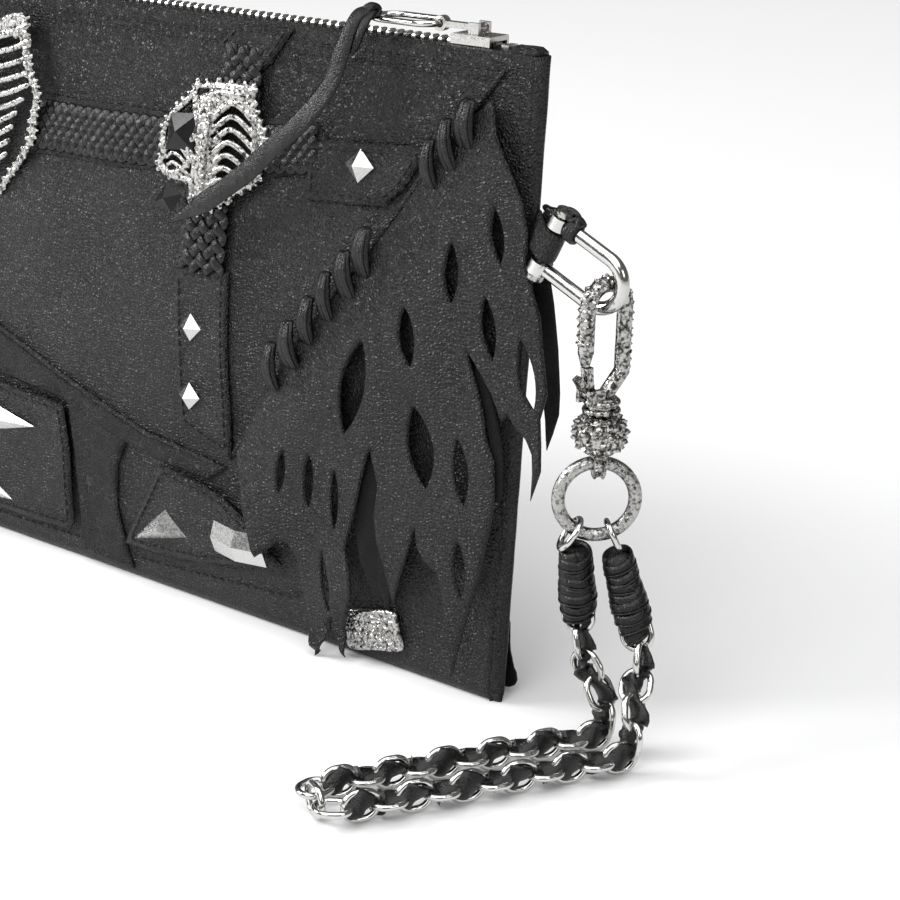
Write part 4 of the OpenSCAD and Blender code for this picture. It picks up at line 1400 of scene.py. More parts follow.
@dataclass
class Ornaments:
    """Two cast openwork plates of ribs, beaded rims and a twisted spine, with cut stones."""

    wardrobe: Wardrobe

    @staticmethod
    def frame_at(x: float, z: float, off: float) -> Matrix:
        """Carries flat work to the front at one point, level with it."""
        n = SHAPE.normal(x, z)
        across = Vector((1, 0, 0))
        across = (across - n * across.dot(n)).normalized()
        up = n.cross(across)
        turn = Matrix((across, up, n)).transposed().to_4x4()
        return Matrix.Translation(SHAPE.place(x, z, off)) @ turn

    def cast(
        self, name: str, parts: Sequence[tuple[Sequence[Sequence[float]], float, float]],
        beads: Sequence[tuple[Point, float]], where: Matrix, grain: float = 0.42
    ) -> bpy.types.Object:
        """Melts tubes and beads into one casting.

        Args:
            name: Name of the casting.
            parts: Lines with their radius at the start and the end.
            beads: Centres and radii of beads.
            where: Place of the casting, in millimetres.
            grain: Size of the casting's finest detail.

        Returns:
            The object.
        """
        finish = self.wardrobe.cast
        pieces: list[bpy.types.Object] = []
        for i, (line, r0, r1) in enumerate(parts):
            path = [where @ p for p in smooth_line(line, 5)]
            width = lambda f, a=r0, b=r1: (a + (b - a) * f) * rounded_end(f, 0.08, 0.5)
            pieces.append(
                sweep(f"{name}_{i}", path, finish, width, width, where.to_3x3() @ Vector((0.3, 0.2, 1)), 10)
            )
        work = bmesh.new()
        for at, r in beads:
            bmesh.ops.create_icosphere(
                work, subdivisions=2, radius=r * MM, matrix=Matrix.Translation((where @ Vector(at)) * MM)
            )
        mesh = bpy.data.meshes.new(f"{name}_beads")
        work.to_mesh(mesh)
        work.free()
        mesh.materials.append(finish)
        grains = bpy.data.objects.new(f"{name}_beads", mesh)
        bpy.context.scene.collection.objects.link(grains)
        whole = joined(name, [*pieces, grains])
        melt = whole.modifiers.new("melt", "REMESH")
        melt.mode, melt.voxel_size, melt.use_smooth_shade = "VOXEL", grain * MM, True
        relax = whole.modifiers.new("relax", "SMOOTH")
        relax.factor, relax.iterations = 0.35, 1
        return applied(whole, finish)

    def left(self) -> bpy.types.Object:
        """The plate at the left, with ten ribs rising to the right."""
        spine = [(-4, 22, 0), (-7, 12, 0.4), (-7, 0, 0.5), (-6, -12, 0.4), (-4, -24, 0.2), (-1, -37, 0)]
        rim = [
            (19.4, 21.6, 0), (20.6, 13, 0.3), (23, 5, 0.4), (26.6, -1, 0.4), (25.4, -8, 0.4),
            (24.6, -15, 0.3), (19.4, -22, 0.2), (14, -28, 0), (8, -35, 0)
        ]
        top = [(-4, 9, 0), (5, 14.6, 0.4), (19.4, 21.6, 0)]
        crown = [
            (
                [
                    (6 + 3 * k, 17.5 - 0.6 * k, 0.3), (13 + 1.6 * k, 21 - 1.4 * k, 0.6),
                    (19.4, 22 - 2.2 * k, 0.4)
                ],
                1.7, 1.4
            )
            for k in range(4)
        ]
        parts: list[tuple[Sequence[Sequence[float]], float, float]] = [
            (spine, 1.8, 1.3), (rim, 1.5, 1.1), (top, 1.4, 1.4), *crown
        ]
        for i in range(10):
            f = (i + 0.6) / 10.4
            y = 21 - 47 * f
            reach = 20.5 + 4.6 * math.sin(math.pi * min(1.0, f * 1.5)) - 9 * f * f
            parts.append(
                (
                    [
                        (-5.5, y - 5.6, 0.5), (3, y - 5.0, 1.6), (reach * 0.62, y - 2.2, 1.4),
                        (reach, y + 1.2, 0.4)
                    ],
                    1.2, 1.05
                )
            )
        beads: list[tuple[Point, float]] = []
        for line, size in ((rim, 0.85), (spine, 0.95)):
            for i, p in enumerate(smooth_line(line, 6)):
                a = i * 1.9
                beads.append(
                    (
                        (p.x + 1.3 * math.cos(a), p.y + 1.3 * math.sin(a), p.z + 0.9),
                        size * (0.75 + 0.3 * math.sin(i * 2.3))
                    )
                )
                if i % 2 == 0:
                    beads.append(((p.x + (2.0 if line is rim else -1.6), p.y + 0.3, p.z + 0.1), 0.62))
        return self.cast("left_casting", parts, beads, self.frame_at(-57, 151, 1.9))

    def middle(self) -> bpy.types.Object:
        """The plate in the middle, with ribs from a raised slanting spine."""
        rim = [
            (-6, 20.4, 0), (3.3, 21.4, 0.3), (13.6, 21.4, 0.3), (13.8, 17.4, 0.3), (16.6, 12.2, 0.2),
            (19.2, 6.2, 0.2), (17.4, -3.2, 0.2), (12.4, -6.6, 0.2), (4.2, -12, 0.3), (-2.3, -15.4, 0.2),
            (-6.2, -13.4, 0.2), (-6.4, -7.6, 0.4), (-13.6, -6.8, 0.2), (-18.4, -4.4, 0), (-17.4, 1.2, 0.2),
            (-17.8, 5.6, 0.2), (-14.6, 11.4, 0.3), (-9.8, 15.6, 0.3), (-6, 20.4, 0)
        ]
        spine = [
            (0, 19, 1.4), (0.8, 12, 2.6), (0.2, 6, 3.1), (-0.4, -1.5, 3.1), (-0.6, -7.4, 2.4),
            (-1.8, -13.6, 1.0)
        ]
        shield = [
            (-6.5, 18.4, 0.6), (-5, 12.6, 1.6), (-3.8, 8.2, 1.9), (-7.2, 2.8, 1.7), (-4.6, -1.2, 1.8),
            (-5.6, -6.6, 1.0)
        ]
        cover = [(-2.6, 18.6, 0.9), (-2.2, 11, 2.2), (-2.2, 4, 2.5), (-2.6, -3, 2.3), (-3.2, -12.6, 0.8)]
        crest = [(4.2, 20.2, 0.9), (3.4, 15.4, 1.4), (2.8, 13.4, 1.5)]
        outer = [(15.4, 15, 0.2), (16.4, 9, 0.3), (16.2, 3, 0.3), (14.2, -3.4, 0.2)]
        parts: list[tuple[Sequence[Sequence[float]], float, float]] = [
            (rim, 1.25, 1.25), (spine, 1.35, 1.1), (shield, 1.3, 1.0), (cover, 1.7, 1.4), (crest, 1.6, 1.0),
            (outer, 1.5, 1.2), ([(-1, 18.8, 0.6), (5, 19.4, 0.8), (12.6, 19.2, 0.4)], 1.9, 1.6),
            ([(1, 16.6, 1.2), (6, 18.2, 0.9), (12.6, 16.8, 0.5)], 1.2, 1.2)
        ]
        for i in range(8):
            ax, ay = 7.4 - 0.09 * i * i, 17.4 - 3.75 * i
            ex, ey = 14.2 - 0.16 * i * i, 13.6 - 3.4 * i
            parts.append(
                (
                    [
                        (ax - 6.6, ay - 6.2, 2.2), (ax - 3.6, ay - 3.4, 2.0), (ax, ay - 0.6, 1.5),
                        (ax + 3.2, ay - 1.2, 1.1), (ex, ey - 0.4, 0.6), (ex + 2, ey - 2.2, 0.3)
                    ],
                    1.02, 1.02
                )
            )
        for i in range(3):
            parts.append(
                (
                    [
                        (-16.6, 0.4 - 2.5 * i, 0.5), (-13.6, 3 - 2.9 * i, 1.2), (-10.4, 2.2 - 2.9 * i, 1.6),
                        (-6.6, -1.4 - 2.2 * i, 1.6)
                    ],
                    0.7, 0.7
                )
            )
        parts.append(([(-15.2, -6.4, 0.4), (-9.6, -4.4, 1.4), (-5.4, 0, 1.8)], 1.2, 0.8))
        beads: list[tuple[Point, float]] = []
        for i, p in enumerate(smooth_line(rim, 5)):
            way = Vector((p.x + 1, p.y, 0)).normalized()
            if i % 2 == 0:
                beads.append(((p.x + way.x * 1.7, p.y + way.y * 1.7, 0.2), 0.78 + 0.2 * math.sin(i * 2.1)))
            beads.append(((p.x + 0.6 * math.cos(i * 2.4), p.y + 0.6 * math.sin(i * 2.4), p.z + 0.8), 0.6))
        for i, p in enumerate(smooth_line(spine, 7)):
            beads.append(((p.x + 0.7 * math.cos(i * 2.0), p.y, p.z + 0.9), 0.66))
        for i, p in enumerate(smooth_line(cover, 6)):
            beads.append(((p.x + 1.1 * math.cos(i * 2.6), p.y, p.z + 1.1), 0.55))
        return self.cast("middle_casting", parts, beads, self.frame_at(43, 140, 2.2), 0.34)

    def build(self) -> None:
        """Builds the two castings."""
        for made, node in ((self.left(), "left_ornament"), (self.middle(), "middle_ornament")):
            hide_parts(node)
            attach(made, Body.POUCH)
        LOG.info("ornaments: two castings")


@dataclass
class MakerPlate:
    """A small cast plate with a rough pebbled face and no lettering."""

    wardrobe: Wardrobe

    def build(self) -> None:
        """Builds the plate."""
        where = Ornaments.frame_at(109, 11, 0.5) @ Matrix.Rotation(math.radians(14), 4, "Z")
        outline = softened(
            [(-9.8, -6), (-10.3, 0), (-9.6, 6), (0, 6.4), (9.7, 6), (10.2, 0), (9.8, -6), (0, -6.3)], 4
        )

        def relief(x: float, z: float) -> float:
            """Height of the pebbled face, even at the border."""
            cell = noise.cell_vector(Vector((x / 2.1, z / 1.9, 4)))
            ridge = abs(noise.noise(Vector((x / 1.3 + cell.x * 0.2, z / 1.3, 1))))
            return 0.9 * (1 - min(1.0, ridge * 3.4)) if abs(x) < 9 and abs(z) < 5.3 else 0.35

        made = leather_cut(
            "cast_plate", outline, self.wardrobe.cast, 0.0, 1.1, step=0.34, soft=0.5,
            place=lambda x, z, off: where @ Vector((x, z, off)), relief=relief
        )
        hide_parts("textured_plate")
        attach(made, Body.POUCH)
        LOG.info("plate")


# ---------------------------------------------------------------- fringe


def _bend_out(x: float, z: float) -> float:
    """How far the flap stands off the front: close at its seam, looser towards its tips."""
    seam = [(53, 50), (74, 84), (98, 115), (123, 153), (140, 169)]
    away = 1e9
    for (ax, az), (bx, bz) in zip(seam, seam[1:]):
        dx, dz = bx - ax, bz - az
        t = max(0.0, min(1.0, ((x - ax) * dx + (z - az) * dz) / (dx * dx + dz * dz)))
        away = min(away, math.hypot(x - ax - t * dx, z - az - t * dz))
    loose = 1.7 + 2.6 * min(1.0, away / 14) + 2.2 * max(0.0, min(1.0, (away - 45) / 60))
    curl = (
        1.5 * noise.noise(Vector((x / 16, z / 34, 2.0))) + 0.7 * noise.noise(Vector((x / 6.5, z / 26, 5.0)))
    )
    over_stud = 4.6 * max(0.0, 1 - abs(x - 64) / 16) * max(0.0, 1 - abs(z - 28) / 20)
    return max(1.7, loose + curl * min(1.0, away / 25) + over_stud)


@dataclass
class Fringe:
    """The slashed leather flap, the strips behind it and the lacing that holds it."""

    wardrobe: Wardrobe
    flap_edge: tuple[Flat, ...] = (
        (57.5, 54), (64, 66), (74, 83), (86, 99), (98, 114), (110, 131), (123, 151), (132, 161.5),
        (139.5, 168.5),
        (142.5, 160), (148, 151), (152.5, 143), (155, 135), (154.5, 127), (158, 119), (160.5, 114),
        (162.5, 105),
        (165.2, 94), (163.5, 87), (164.6, 80), (165.2, 73), (163, 64.5), (162.6, 72), (161.8, 77),
        (159.4, 80.5),
        (156, 83.5), (153.4, 86.5), (151.2, 83.5), (147.5, 91), (143.6, 96), (139.2, 101), (142.4, 93.5),
        (145.4, 86),
        (147.2, 78), (150.2, 72), (151.3, 64), (151, 56), (148.8, 41), (146.6, 32), (144, 20), (141.4, 7),
        (140.3, 16),
        (137.6, 29), (134.6, 37), (130.4, 39.5), (127.6, 43), (126.2, 48), (124.4, 40), (121.8, 32),
        (119.4, 22.5),
        (116.6, 30), (112.8, 40), (111.6, 48), (112.4, 57), (109.2, 67), (107, 58), (104.8, 45),
        (102.3, 36.5),
        (104.6, 29), (104.9, 22), (102, 11), (103.8, 0.6), (99.6, 6), (97.3, 13), (95.8, 5), (92.9, -3.6),
        (90.2, 4),
        (88, 12), (85.4, 19), (83.4, 27), (80.4, 31.5), (77.4, 32), (74.4, 29.2), (70, 25.6), (67.6, 31),
        (64.2, 38),
        (60.4, 46),
    )
    slits: tuple[tuple[Flat, Flat, float], ...] = (
        ((105.5, 98.5), (100.2, 70), 7.6), ((119, 110), (122.4, 94), 4.6),
        ((131.6, 129.4), (132.4, 113), 3.8),
        ((144.6, 140.6), (147, 126), 3.4), ((143.2, 116.6), (147.4, 100), 4.2),
        ((155.4, 107.4), (161.2, 89), 4.6),
        ((123.6, 82.6), (128.8, 60), 8.2), ((138.1, 76.3), (141.8, 58), 4.6),
        ((141, 47.6), (143.1, 31.8), 3.6),
        ((77.3, 59.8), (76, 46.4), 2.4), ((86.9, 60.5), (86.9, 44.5), 3.4), ((97.1, 58.4), (97.8, 40.7), 2.4),
        ((93.3, 32.6), (96.8, 14.6), 2.6),
    )

    def flap(self) -> bpy.types.Object:
        """The flap with its open slits."""
        holes = [lens(a, b, w) for a, b, w in self.slits]

        def rest(x: float, z: float, off: float) -> Vector:
            """Where the flap lies, with its lowest tips turned up off the floor."""
            low = max(0.0, 8.0 - z)
            p = SHAPE.place(x, max(z, 0.0), off + 0.55 * low)
            return Vector((p.x, p.y, max(0.35, 8.0 - low * 0.72) if low else z))

        return leather_cut(
            "slashed_flap", self.flap_edge, self.wardrobe.shell, _bend_out, 1.0, holes=holes, step=1.9,
            soft=0.45, place=rest
        )

    def under_strips(self) -> bpy.types.Object:
        """Raw strips that show between the tongues."""
        outlines: tuple[tuple[Flat, ...], ...] = (
            (
                (106, 62), (112.6, 70), (114.6, 55), (114, 44), (116.8, 30), (112.8, 22), (109.6, 27),
                (105.4, 36), (104.4, 50)
            ),
            ((113.5, 44), (122.5, 45.6), (121.4, 36), (117.8, 30), (116, 20), (112.2, 27)),
            (
                (143, 98), (148, 86), (151.4, 74), (152.5, 62), (149.8, 63), (148.6, 72), (144.8, 84),
                (140.8, 95)
            ),
        )
        made = [
            leather_cut(
                f"under_{k}", softened(o, 3), self.wardrobe.suede,
                lambda x, z, k=k: max(0.9, _bend_out(x, z) - 2.0 + 0.25 * k), 0.7, step=2.2, soft=0.4
            )
            for k, o in enumerate(outlines)
        ]
        return joined("under_strips", made)

    def side_strip(self) -> bpy.types.Object:
        """The strip that hangs free beside the seam."""
        outline = [
            (152.6, 142), (154.6, 137), (157, 126), (159.4, 116), (161.8, 104), (163.2, 92), (163.4, 86),
            (162, 80.5), (160.2, 75.4), (159.4, 84), (157.4, 94), (154.4, 106), (152.6, 120), (152.4, 130)
        ]
        return leather_cut(
            "side_strip", outline, self.wardrobe.suede, 0.0, 1.0, step=2.0, soft=0.4,
            place=lambda x, z, off: Vector(
                (x, -1.5 - 2.4 * (142 - z) / 70 - off + 0.9 * noise.noise(Vector((x / 12, z / 20, 1))), z)
            ),
        )

    def back_strips(self) -> bpy.types.Object:
        """Ragged strips behind the foot of the seam."""
        made: list[bpy.types.Object] = []
        for k, (x0, tall) in enumerate(((108, 16), (122, 20), (134, 27), (143, 24))):
            outline = softened(
                [
                    (x0 - 4, tall), (x0 + 4, tall - 1), (x0 + 6, tall * 0.5), (x0 + 9, 4), (x0 + 5, 0.6),
                    (x0 + 1, 1.2), (x0 - 3, 0.6), (x0 - 6, 4), (x0 - 4.4, tall * 0.5)
                ],
                3
            )

            def stand(x: float, z: float, off: float, k: int = k) -> Vector:
                """Where a strip stands behind the back panel."""
                base = SHAPE.back(min(x, 149.0), max(z, 2.0)) + 1.2 + 2.2 * (1 - z / 30) + 0.8 * (k % 2)
                return Vector((x, base + off + 0.8 * noise.noise(Vector((x / 3, z / 3, k))), max(0.3, z)))

            made.append(
                leather_cut(
                    f"back_{k}", outline, self.wardrobe.suede, 0.0, 0.9, step=1.8, soft=0.4, place=stand
                )
            )
        return joined("back_strips", made)

    def lacing(self) -> bpy.types.Object:
        """The whipped loops along the slanting seam."""
        path = smooth_line(
            [
                (-6.6, -0.3, 0.2), (-6.0, -0.15, 1.7), (-3, 0, 2.9), (0, 0.12, 3.2), (3, 0, 2.9),
                (6.0, -0.1, 1.6), (6.6, -0.25, 0.2)
            ],
            5
        )
        loop = sweep(
            "whip_loop", path, self.wardrobe.lace,
            lambda f: (0.9 + 1.0 * max(0.0, math.sin(math.pi * f)) ** 0.7),
            lambda f: 0.6 + 0.5 * math.sin(math.pi * f), Vector((0, 1, 0.25)), 12,
        )
        second = sweep(
            "whip_second", [p + Vector((0.3, 2.35 - 0.1 * p.x, -0.35)) for p in path], self.wardrobe.lace,
            lambda f: (0.8 + 0.85 * max(0.0, math.sin(math.pi * f)) ** 0.7),
            lambda f: 0.55 + 0.4 * math.sin(math.pi * f), Vector((0, 1, -0.35)), 12,
        )
        ridge = sweep(
            "whip_ridge", [p + Vector((0, -0.5, 0.95)) for p in path[3:-3]], self.wardrobe.lace,
            lambda f: 0.55 * rounded_end(f, 0.3, 0.2), lambda f: 0.42 * rounded_end(f, 0.3, 0.2),
            Vector((0, 1, 0)), 8,
        )
        part = joined("whip_part", [loop, second, ridge])
        places: list[tuple[Vector, Matrix, Point]] = []
        for i, (x, z) in enumerate(
            (
                (73, 84), (80, 92), (86, 100), (92, 108), (98, 115), (103.5, 122), (123, 149), (128.5, 155),
                (134, 161)
            )
        ):
            n = SHAPE.normal(x, z)
            tilt = math.radians(98 + 6 * math.sin(i * 2.1))
            along = Vector((math.cos(tilt), 0, math.sin(tilt)))
            places.append(
                (
                    SHAPE.place(x, z, 1.9), turn_of(along, n),
                    (1.0 + 0.08 * math.sin(i * 3.1), 1.0 + 0.12 * math.sin(i * 1.7), 1.0)
                )
            )
        return Scatter.set_out("whip_loops", part, places, self.wardrobe.lace)

    def build(self) -> None:
        """Builds the fringe."""
        flap = self.flap()
        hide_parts("fringe_flap")
        under, side, back = self.under_strips(), self.side_strip(), self.back_strips()
        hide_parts("side_fringe")
        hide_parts("back_fringe")
        loops = self.lacing()
        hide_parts("whip_lacing")
        for made in (flap, under, side, back, loops):
            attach(made, Body.POUCH)
        LOG.info("fringe: flap, strips, lacing")


# ---------------------------------------------------------------- thong, tab, hook and chain


@dataclass
class SliderThong:
    """The leather thong knotted on the puller's ring."""

    wardrobe: Wardrobe
    route: tuple[Point, ...] = (
        (96, -3, 187.4), (95, -7, 186.4), (94, -10, 182), (93, -12, 176), (91, -14, 168), (87, -16.5, 161),
        (82, -18.5, 155),
        (75, -19.5, 149), (67, -19.8, 142), (59, -20, 136), (50, -20.2, 130), (43, -20.3, 126),
        (36, -20.3, 122),
    )

    def build(self) -> None:
        """Builds the flat thong and its knot."""
        line = smooth_line(self.route, 8)

        def half(f: float) -> float:
            """Half the strip's width along its length."""
            return (1.6 + 1.5 * min(1.0, f * 3.2) + 0.12 * math.sin(f * 31)) * (
                rounded_end(f, 0.03, 0.3) if f < 0.5 else min(1.0, 0.2 + (1 - f) * 5)
            )

        made = sweep(
            "thong_strip", line, self.wardrobe.lace, half, lambda f: 0.6,
            lambda f: Vector((0.8, -0.1, -0.35 - 0.2 * f)), 14
        )
        knot_parts: list[bpy.types.Object] = []
        for k in range(3):
            ring = [
                Vector((95.5 + 0.3 * k, zy, zz)) for zy,
                zz in (
                    (math.cos(a) * 1.9 - 2.6, 186.3 + math.sin(a) * 1.6 + 0.3 * k)
                    for a in np.linspace(0, 2 * math.pi, 22)
                )
            ]
            ring = [p + Vector((0.9 * math.sin(i / 3.4 + k), 0, 0)) for i, p in enumerate(ring)]
            knot_parts.append(
                sweep(
                    f"knot_{k}", ring, self.wardrobe.lace, lambda f: 1.1, lambda f: 0.8,
                    Vector((1, 0, 0.2)), 8
                )
            )
        tail = smooth_line([(97, -3.4, 187), (97.6, -6.8, 185.4), (97, -9.2, 181.4), (95.8, -11, 176)], 6)
        knot_parts.append(
            sweep(
                "knot_tail", tail, self.wardrobe.lace, lambda f: 1.5 * min(1.0, 0.2 + (1 - f) * 5),
                lambda f: 0.5, Vector((1, 0.3, 0)), 8
            )
        )
        knot = joined("thong_knot", knot_parts)
        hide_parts("thong")
        for each in (made, knot):
            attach(each, Body.SLIDER)


@dataclass
class SideTab:
    """The folded leather tab on the seam and the lace tied to the shackle."""

    wardrobe: Wardrobe
    pin: Point = (161.2, -8.0, 133.5)
    tilt: float = 25.0

    def frame(self) -> Matrix:
        """The shackle's own frame, in millimetres."""
        return Matrix.Translation(Vector(self.pin)) @ Matrix.Rotation(math.radians(self.tilt), 4, "Y")

    def tab(self) -> bpy.types.Object:
        """Leather that goes round the pin and back to the seam."""
        a = math.radians(152)
        way = Vector((math.cos(a), math.sin(a), 0))
        across = Vector((-way.y, way.x, 0))
        profile: list[Vector] = [way * 9.4 + across * 0.75]
        profile += [
            way * d + across * (0.8 + (2.55 - 0.8) * ((9.4 - d) / 7) ** 0.8) for d in (8, 6, 4.2, 2.8)
        ]
        start = math.radians(152 + 75)
        for k in range(17):
            t = start + (2 * math.pi - math.radians(150)) * k / 16
            profile.append(Vector((math.cos(t), math.sin(t), 0)) * 2.45)
        profile += [
            way * d - across * (0.8 + (2.55 - 0.8) * ((9.4 - d) / 7) ** 0.8) for d in (2.8, 4.2, 6, 8)
        ]
        profile.append(way * 9.4 - across * 0.75)
        where = self.frame()
        halves = [-4.2, -3.9, -3, -1.5, 0, 1.5, 3, 3.9, 4.2]
        edge = [0.35, 0.62, 0.72, 0.75, 0.76, 0.75, 0.72, 0.62, 0.35]
        points: list[Vector] = []
        for i, p in enumerate(profile):
            b, c = profile[max(0, i - 1)], profile[min(len(profile) - 1, i + 1)]
            out = Vector(((c - b).y, -(c - b).x, 0)).normalized()
            points += [where @ (p + out * e + Vector((0, 0, h))) for h, e in zip(halves, edge)]
            points += [
                where @ (p - out * e + Vector((0, 0, h))) for h, e in zip(reversed(halves), reversed(edge))
            ]
        n = 18
        faces = [
            [i * n + k, i * n + (k + 1) % n, (i + 1) * n + (k + 1) % n, (i + 1) * n + k]
            for i in range(len(profile) - 1)
            for k in range(n)
        ]
        faces += [list(range(n - 1, -1, -1)), [(len(profile) - 1) * n + k for k in range(n)]]
        return outward(piece("folded_tab", points, faces, self.wardrobe.shell))

    def tie(self) -> bpy.types.Object:
        """The lace wound on the shackle's upper leg, with two long tails and two short ones."""
        where = self.frame()
        wound: list[Vector] = []
        for k in range(70):
            a = 2 * math.pi * k / 23
            wound.append(where @ Vector((3.4 + 2.4 * k / 69, math.cos(a) * 2.5, 7 + math.sin(a) * 2.5)))
        parts = [
            sweep(
                "tie_coil", wound, self.wardrobe.lace, lambda f: 1.0, lambda f: 0.7, Vector((1, 0, -0.3)), 8
            )
        ]
        for tail in (
            [(3.8, -0.6, 9.4), (1.2, -1.2, 10.2), (-1.8, -0.6, 9.2), (-4.8, 1.0, 7.4), (-7.6, 2.8, 6.2)],
            [(5.2, 0.4, 9.6), (3.4, 1.0, 10.6), (1.2, 1.2, 10.8), (-1.2, 1.4, 9.8), (-3.2, 1.6, 8.4)],
            [(3.2, -1.6, 9.2), (4.4, 0.4, 10.5), (6.0, 1.8, 9.0)],
            [(5.6, -1.8, 9.0), (4.2, -0.2, 10.7), (3.0, 1.6, 9.2)],
        ):
            parts.append(
                sweep(
                    f"tie_tail_{len(parts)}", [where @ p for p in smooth_line(tail, 7)], self.wardrobe.lace,
                    lambda f: 0.95 * rounded_end(f, 0.1, 0.3), lambda f: 0.62, Vector((0.2, 0.4, 1)), 8
                )
            )
        return joined("shackle_tie", parts)

    def build(self) -> None:
        """Builds the tab and the tie."""
        tab, tie = self.tab(), self.tie()
        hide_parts("side_tab")
        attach(tab, Body.TAB)
        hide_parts("lace_knot")
        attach(tie, Body.SHACKLE)
        LOG.info("side tab and tie")


@dataclass
class HookTrim:
    """Cast relief on the hook and its swivel: studs and collars."""

    wardrobe: Wardrobe
    at: Flat = (179.5, -8.0)
    turn: float = -17.5
    arch_z: float = 119.9
    arch_r: float = 6.1
    arm_r: float = 2.1

    def frame(self) -> Matrix:
        """The hook's own frame."""
        return Matrix.Translation(
            Vector((self.at[0], self.at[1], 0))
        ) @ Matrix.Rotation(math.radians(self.turn), 4, "Z")

    @staticmethod
    def spike() -> bpy.types.Object:
        """One faceted stud with its point along Z."""
        points = [
            (-0.9, -0.9, -0.5), (0.9, -0.9, -0.5), (0.9, 0.9, -0.5), (-0.9, 0.9, -0.5),
            (-0.55, -0.55, 0.55), (0.55, -0.55, 0.55), (0.55, 0.55, 0.55), (-0.55, 0.55, 0.55), (0, 0, 1.25)
        ]
        faces = [
            [3, 2, 1, 0], [0, 1, 5, 4], [1, 2, 6, 5], [2, 3, 7, 6], [3, 0, 4, 7], [4, 5, 8], [5, 6, 8],
            [6, 7, 8], [7, 4, 8]
        ]
        return outward(piece("spike", points, faces, bpy.data.materials["antique_silver"], False))

    def studs(self) -> bpy.types.Object:
        """Studs over the hooked arm and the arch, smaller studs over the other arm."""
        where = self.frame()
        spots: list[tuple[Vector, Vector, float, float]] = []
        line: list[tuple[Vector, Vector]] = []
        for k in range(9):
            a = math.radians(180 - 22 * k)
            line.append(
                (
                    Vector((0, self.arch_r * math.cos(a), self.arch_z + self.arch_r * math.sin(a))),
                    Vector((0, math.cos(a), math.sin(a)))
                )
            )
        for k in range(4):
            line.insert(0, (Vector((0, -self.arch_r, self.arch_z - 2.2 * (k + 1))), Vector((0, -1, 0))))
        for k in range(8):
            z = self.arch_z - 2.1 * (k + 1)
            line.append((Vector((0, self.arch_r, z)), Vector((0, 1, 0))))
        for i, (middle, out) in enumerate(line):
            size = 1.0 if i < 9 else 0.72
            for j in range(5):
                b = math.radians(-76 + 38 * j + (9 if i % 2 else -9))
                way = out * math.cos(b) + Vector((math.sin(b), 0, 0))
                spots.append(
                    (
                        middle + way * (self.arm_r - 0.15), way,
                        size * (0.85 + 0.12 * math.sin(i * 2.3 + j)), i * 0.6 + j
                    )
                )
        places = []
        for at, way, size, spin in spots:
            side = Vector((math.cos(spin), math.sin(spin), 0.3))
            basis = turn_of(where.to_3x3() @ side.cross(way), where.to_3x3() @ way)
            places.append((where @ at, basis, (size, size, size * 0.8)))
        return Scatter.set_out("hook_studs", self.spike(), places, self.wardrobe.antique, False)

    def collars(self) -> bpy.types.Object:
        """Two collars round the hook's neck."""
        parts: list[bpy.types.Object] = []
        for z, r, wire in ((92.3, 4.3, 0.85), (94.6, 4.25, 0.75)):
            ring = [
                Vector((self.at[0] + r * math.cos(a), self.at[1] + r * math.sin(a), z))
                for a in np.linspace(0, 2 * math.pi, 49)
            ]
            parts.append(
                sweep(
                    f"collar_{z}", ring, self.wardrobe.antique, lambda f, w=wire: w, lambda f, w=wire: w,
                    Vector((0, 0, 1)), 10
                )
            )
        return joined("hook_collars", parts)

    def swivel_studs(self) -> bpy.types.Object:
        """Rows of studs round the barrel and grains on the eye."""
        places = []
        for row, (z, r) in enumerate(((82.4, 5.5), (84.4, 6.5), (86.5, 6.75), (88.6, 6.1), (90.2, 4.7))):
            count = 11 if r > 5 else 8
            for k in range(count):
                a = 2 * math.pi * (k + 0.5 * (row % 2)) / count
                out = Vector((math.cos(a), math.sin(a), -0.3 + 0.18 * row)).normalized()
                at = Vector((self.at[0] + r * math.cos(a), self.at[1] + r * math.sin(a), z))
                places.append((at, turn_of(Vector((-math.sin(a), math.cos(a), 0)), out), (1.25, 1.0, 1.0)))
        ring = Matrix.Rotation(math.radians(42), 3, "Z")
        for k in range(14):
            a = math.radians(115 + 310 * k / 13)
            for side in (-1, 1):
                local = Vector((side * 1.1, 4.0 * math.sin(a), -4.0 * math.cos(a) * -1))
                at = Vector((self.at[0], self.at[1], 77.7)) + ring @ local
                out = ring @ Vector((side * 0.4, math.sin(a), math.cos(a))).normalized()
                places.append((at, turn_of(ring @ Vector((1, 0, 0)), out), (0.62, 0.62, 0.55)))
        return Scatter.set_out("swivel_studs", self.spike(), places, self.wardrobe.antique, False)

    def build(self) -> None:
        """Builds the relief."""
        for made, body in (
            (self.studs(), Body.HOOK), (self.collars(), Body.HOOK), (self.swivel_studs(), Body.SWIVEL)
        ):
            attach(made, body)
        LOG.info("hook relief")


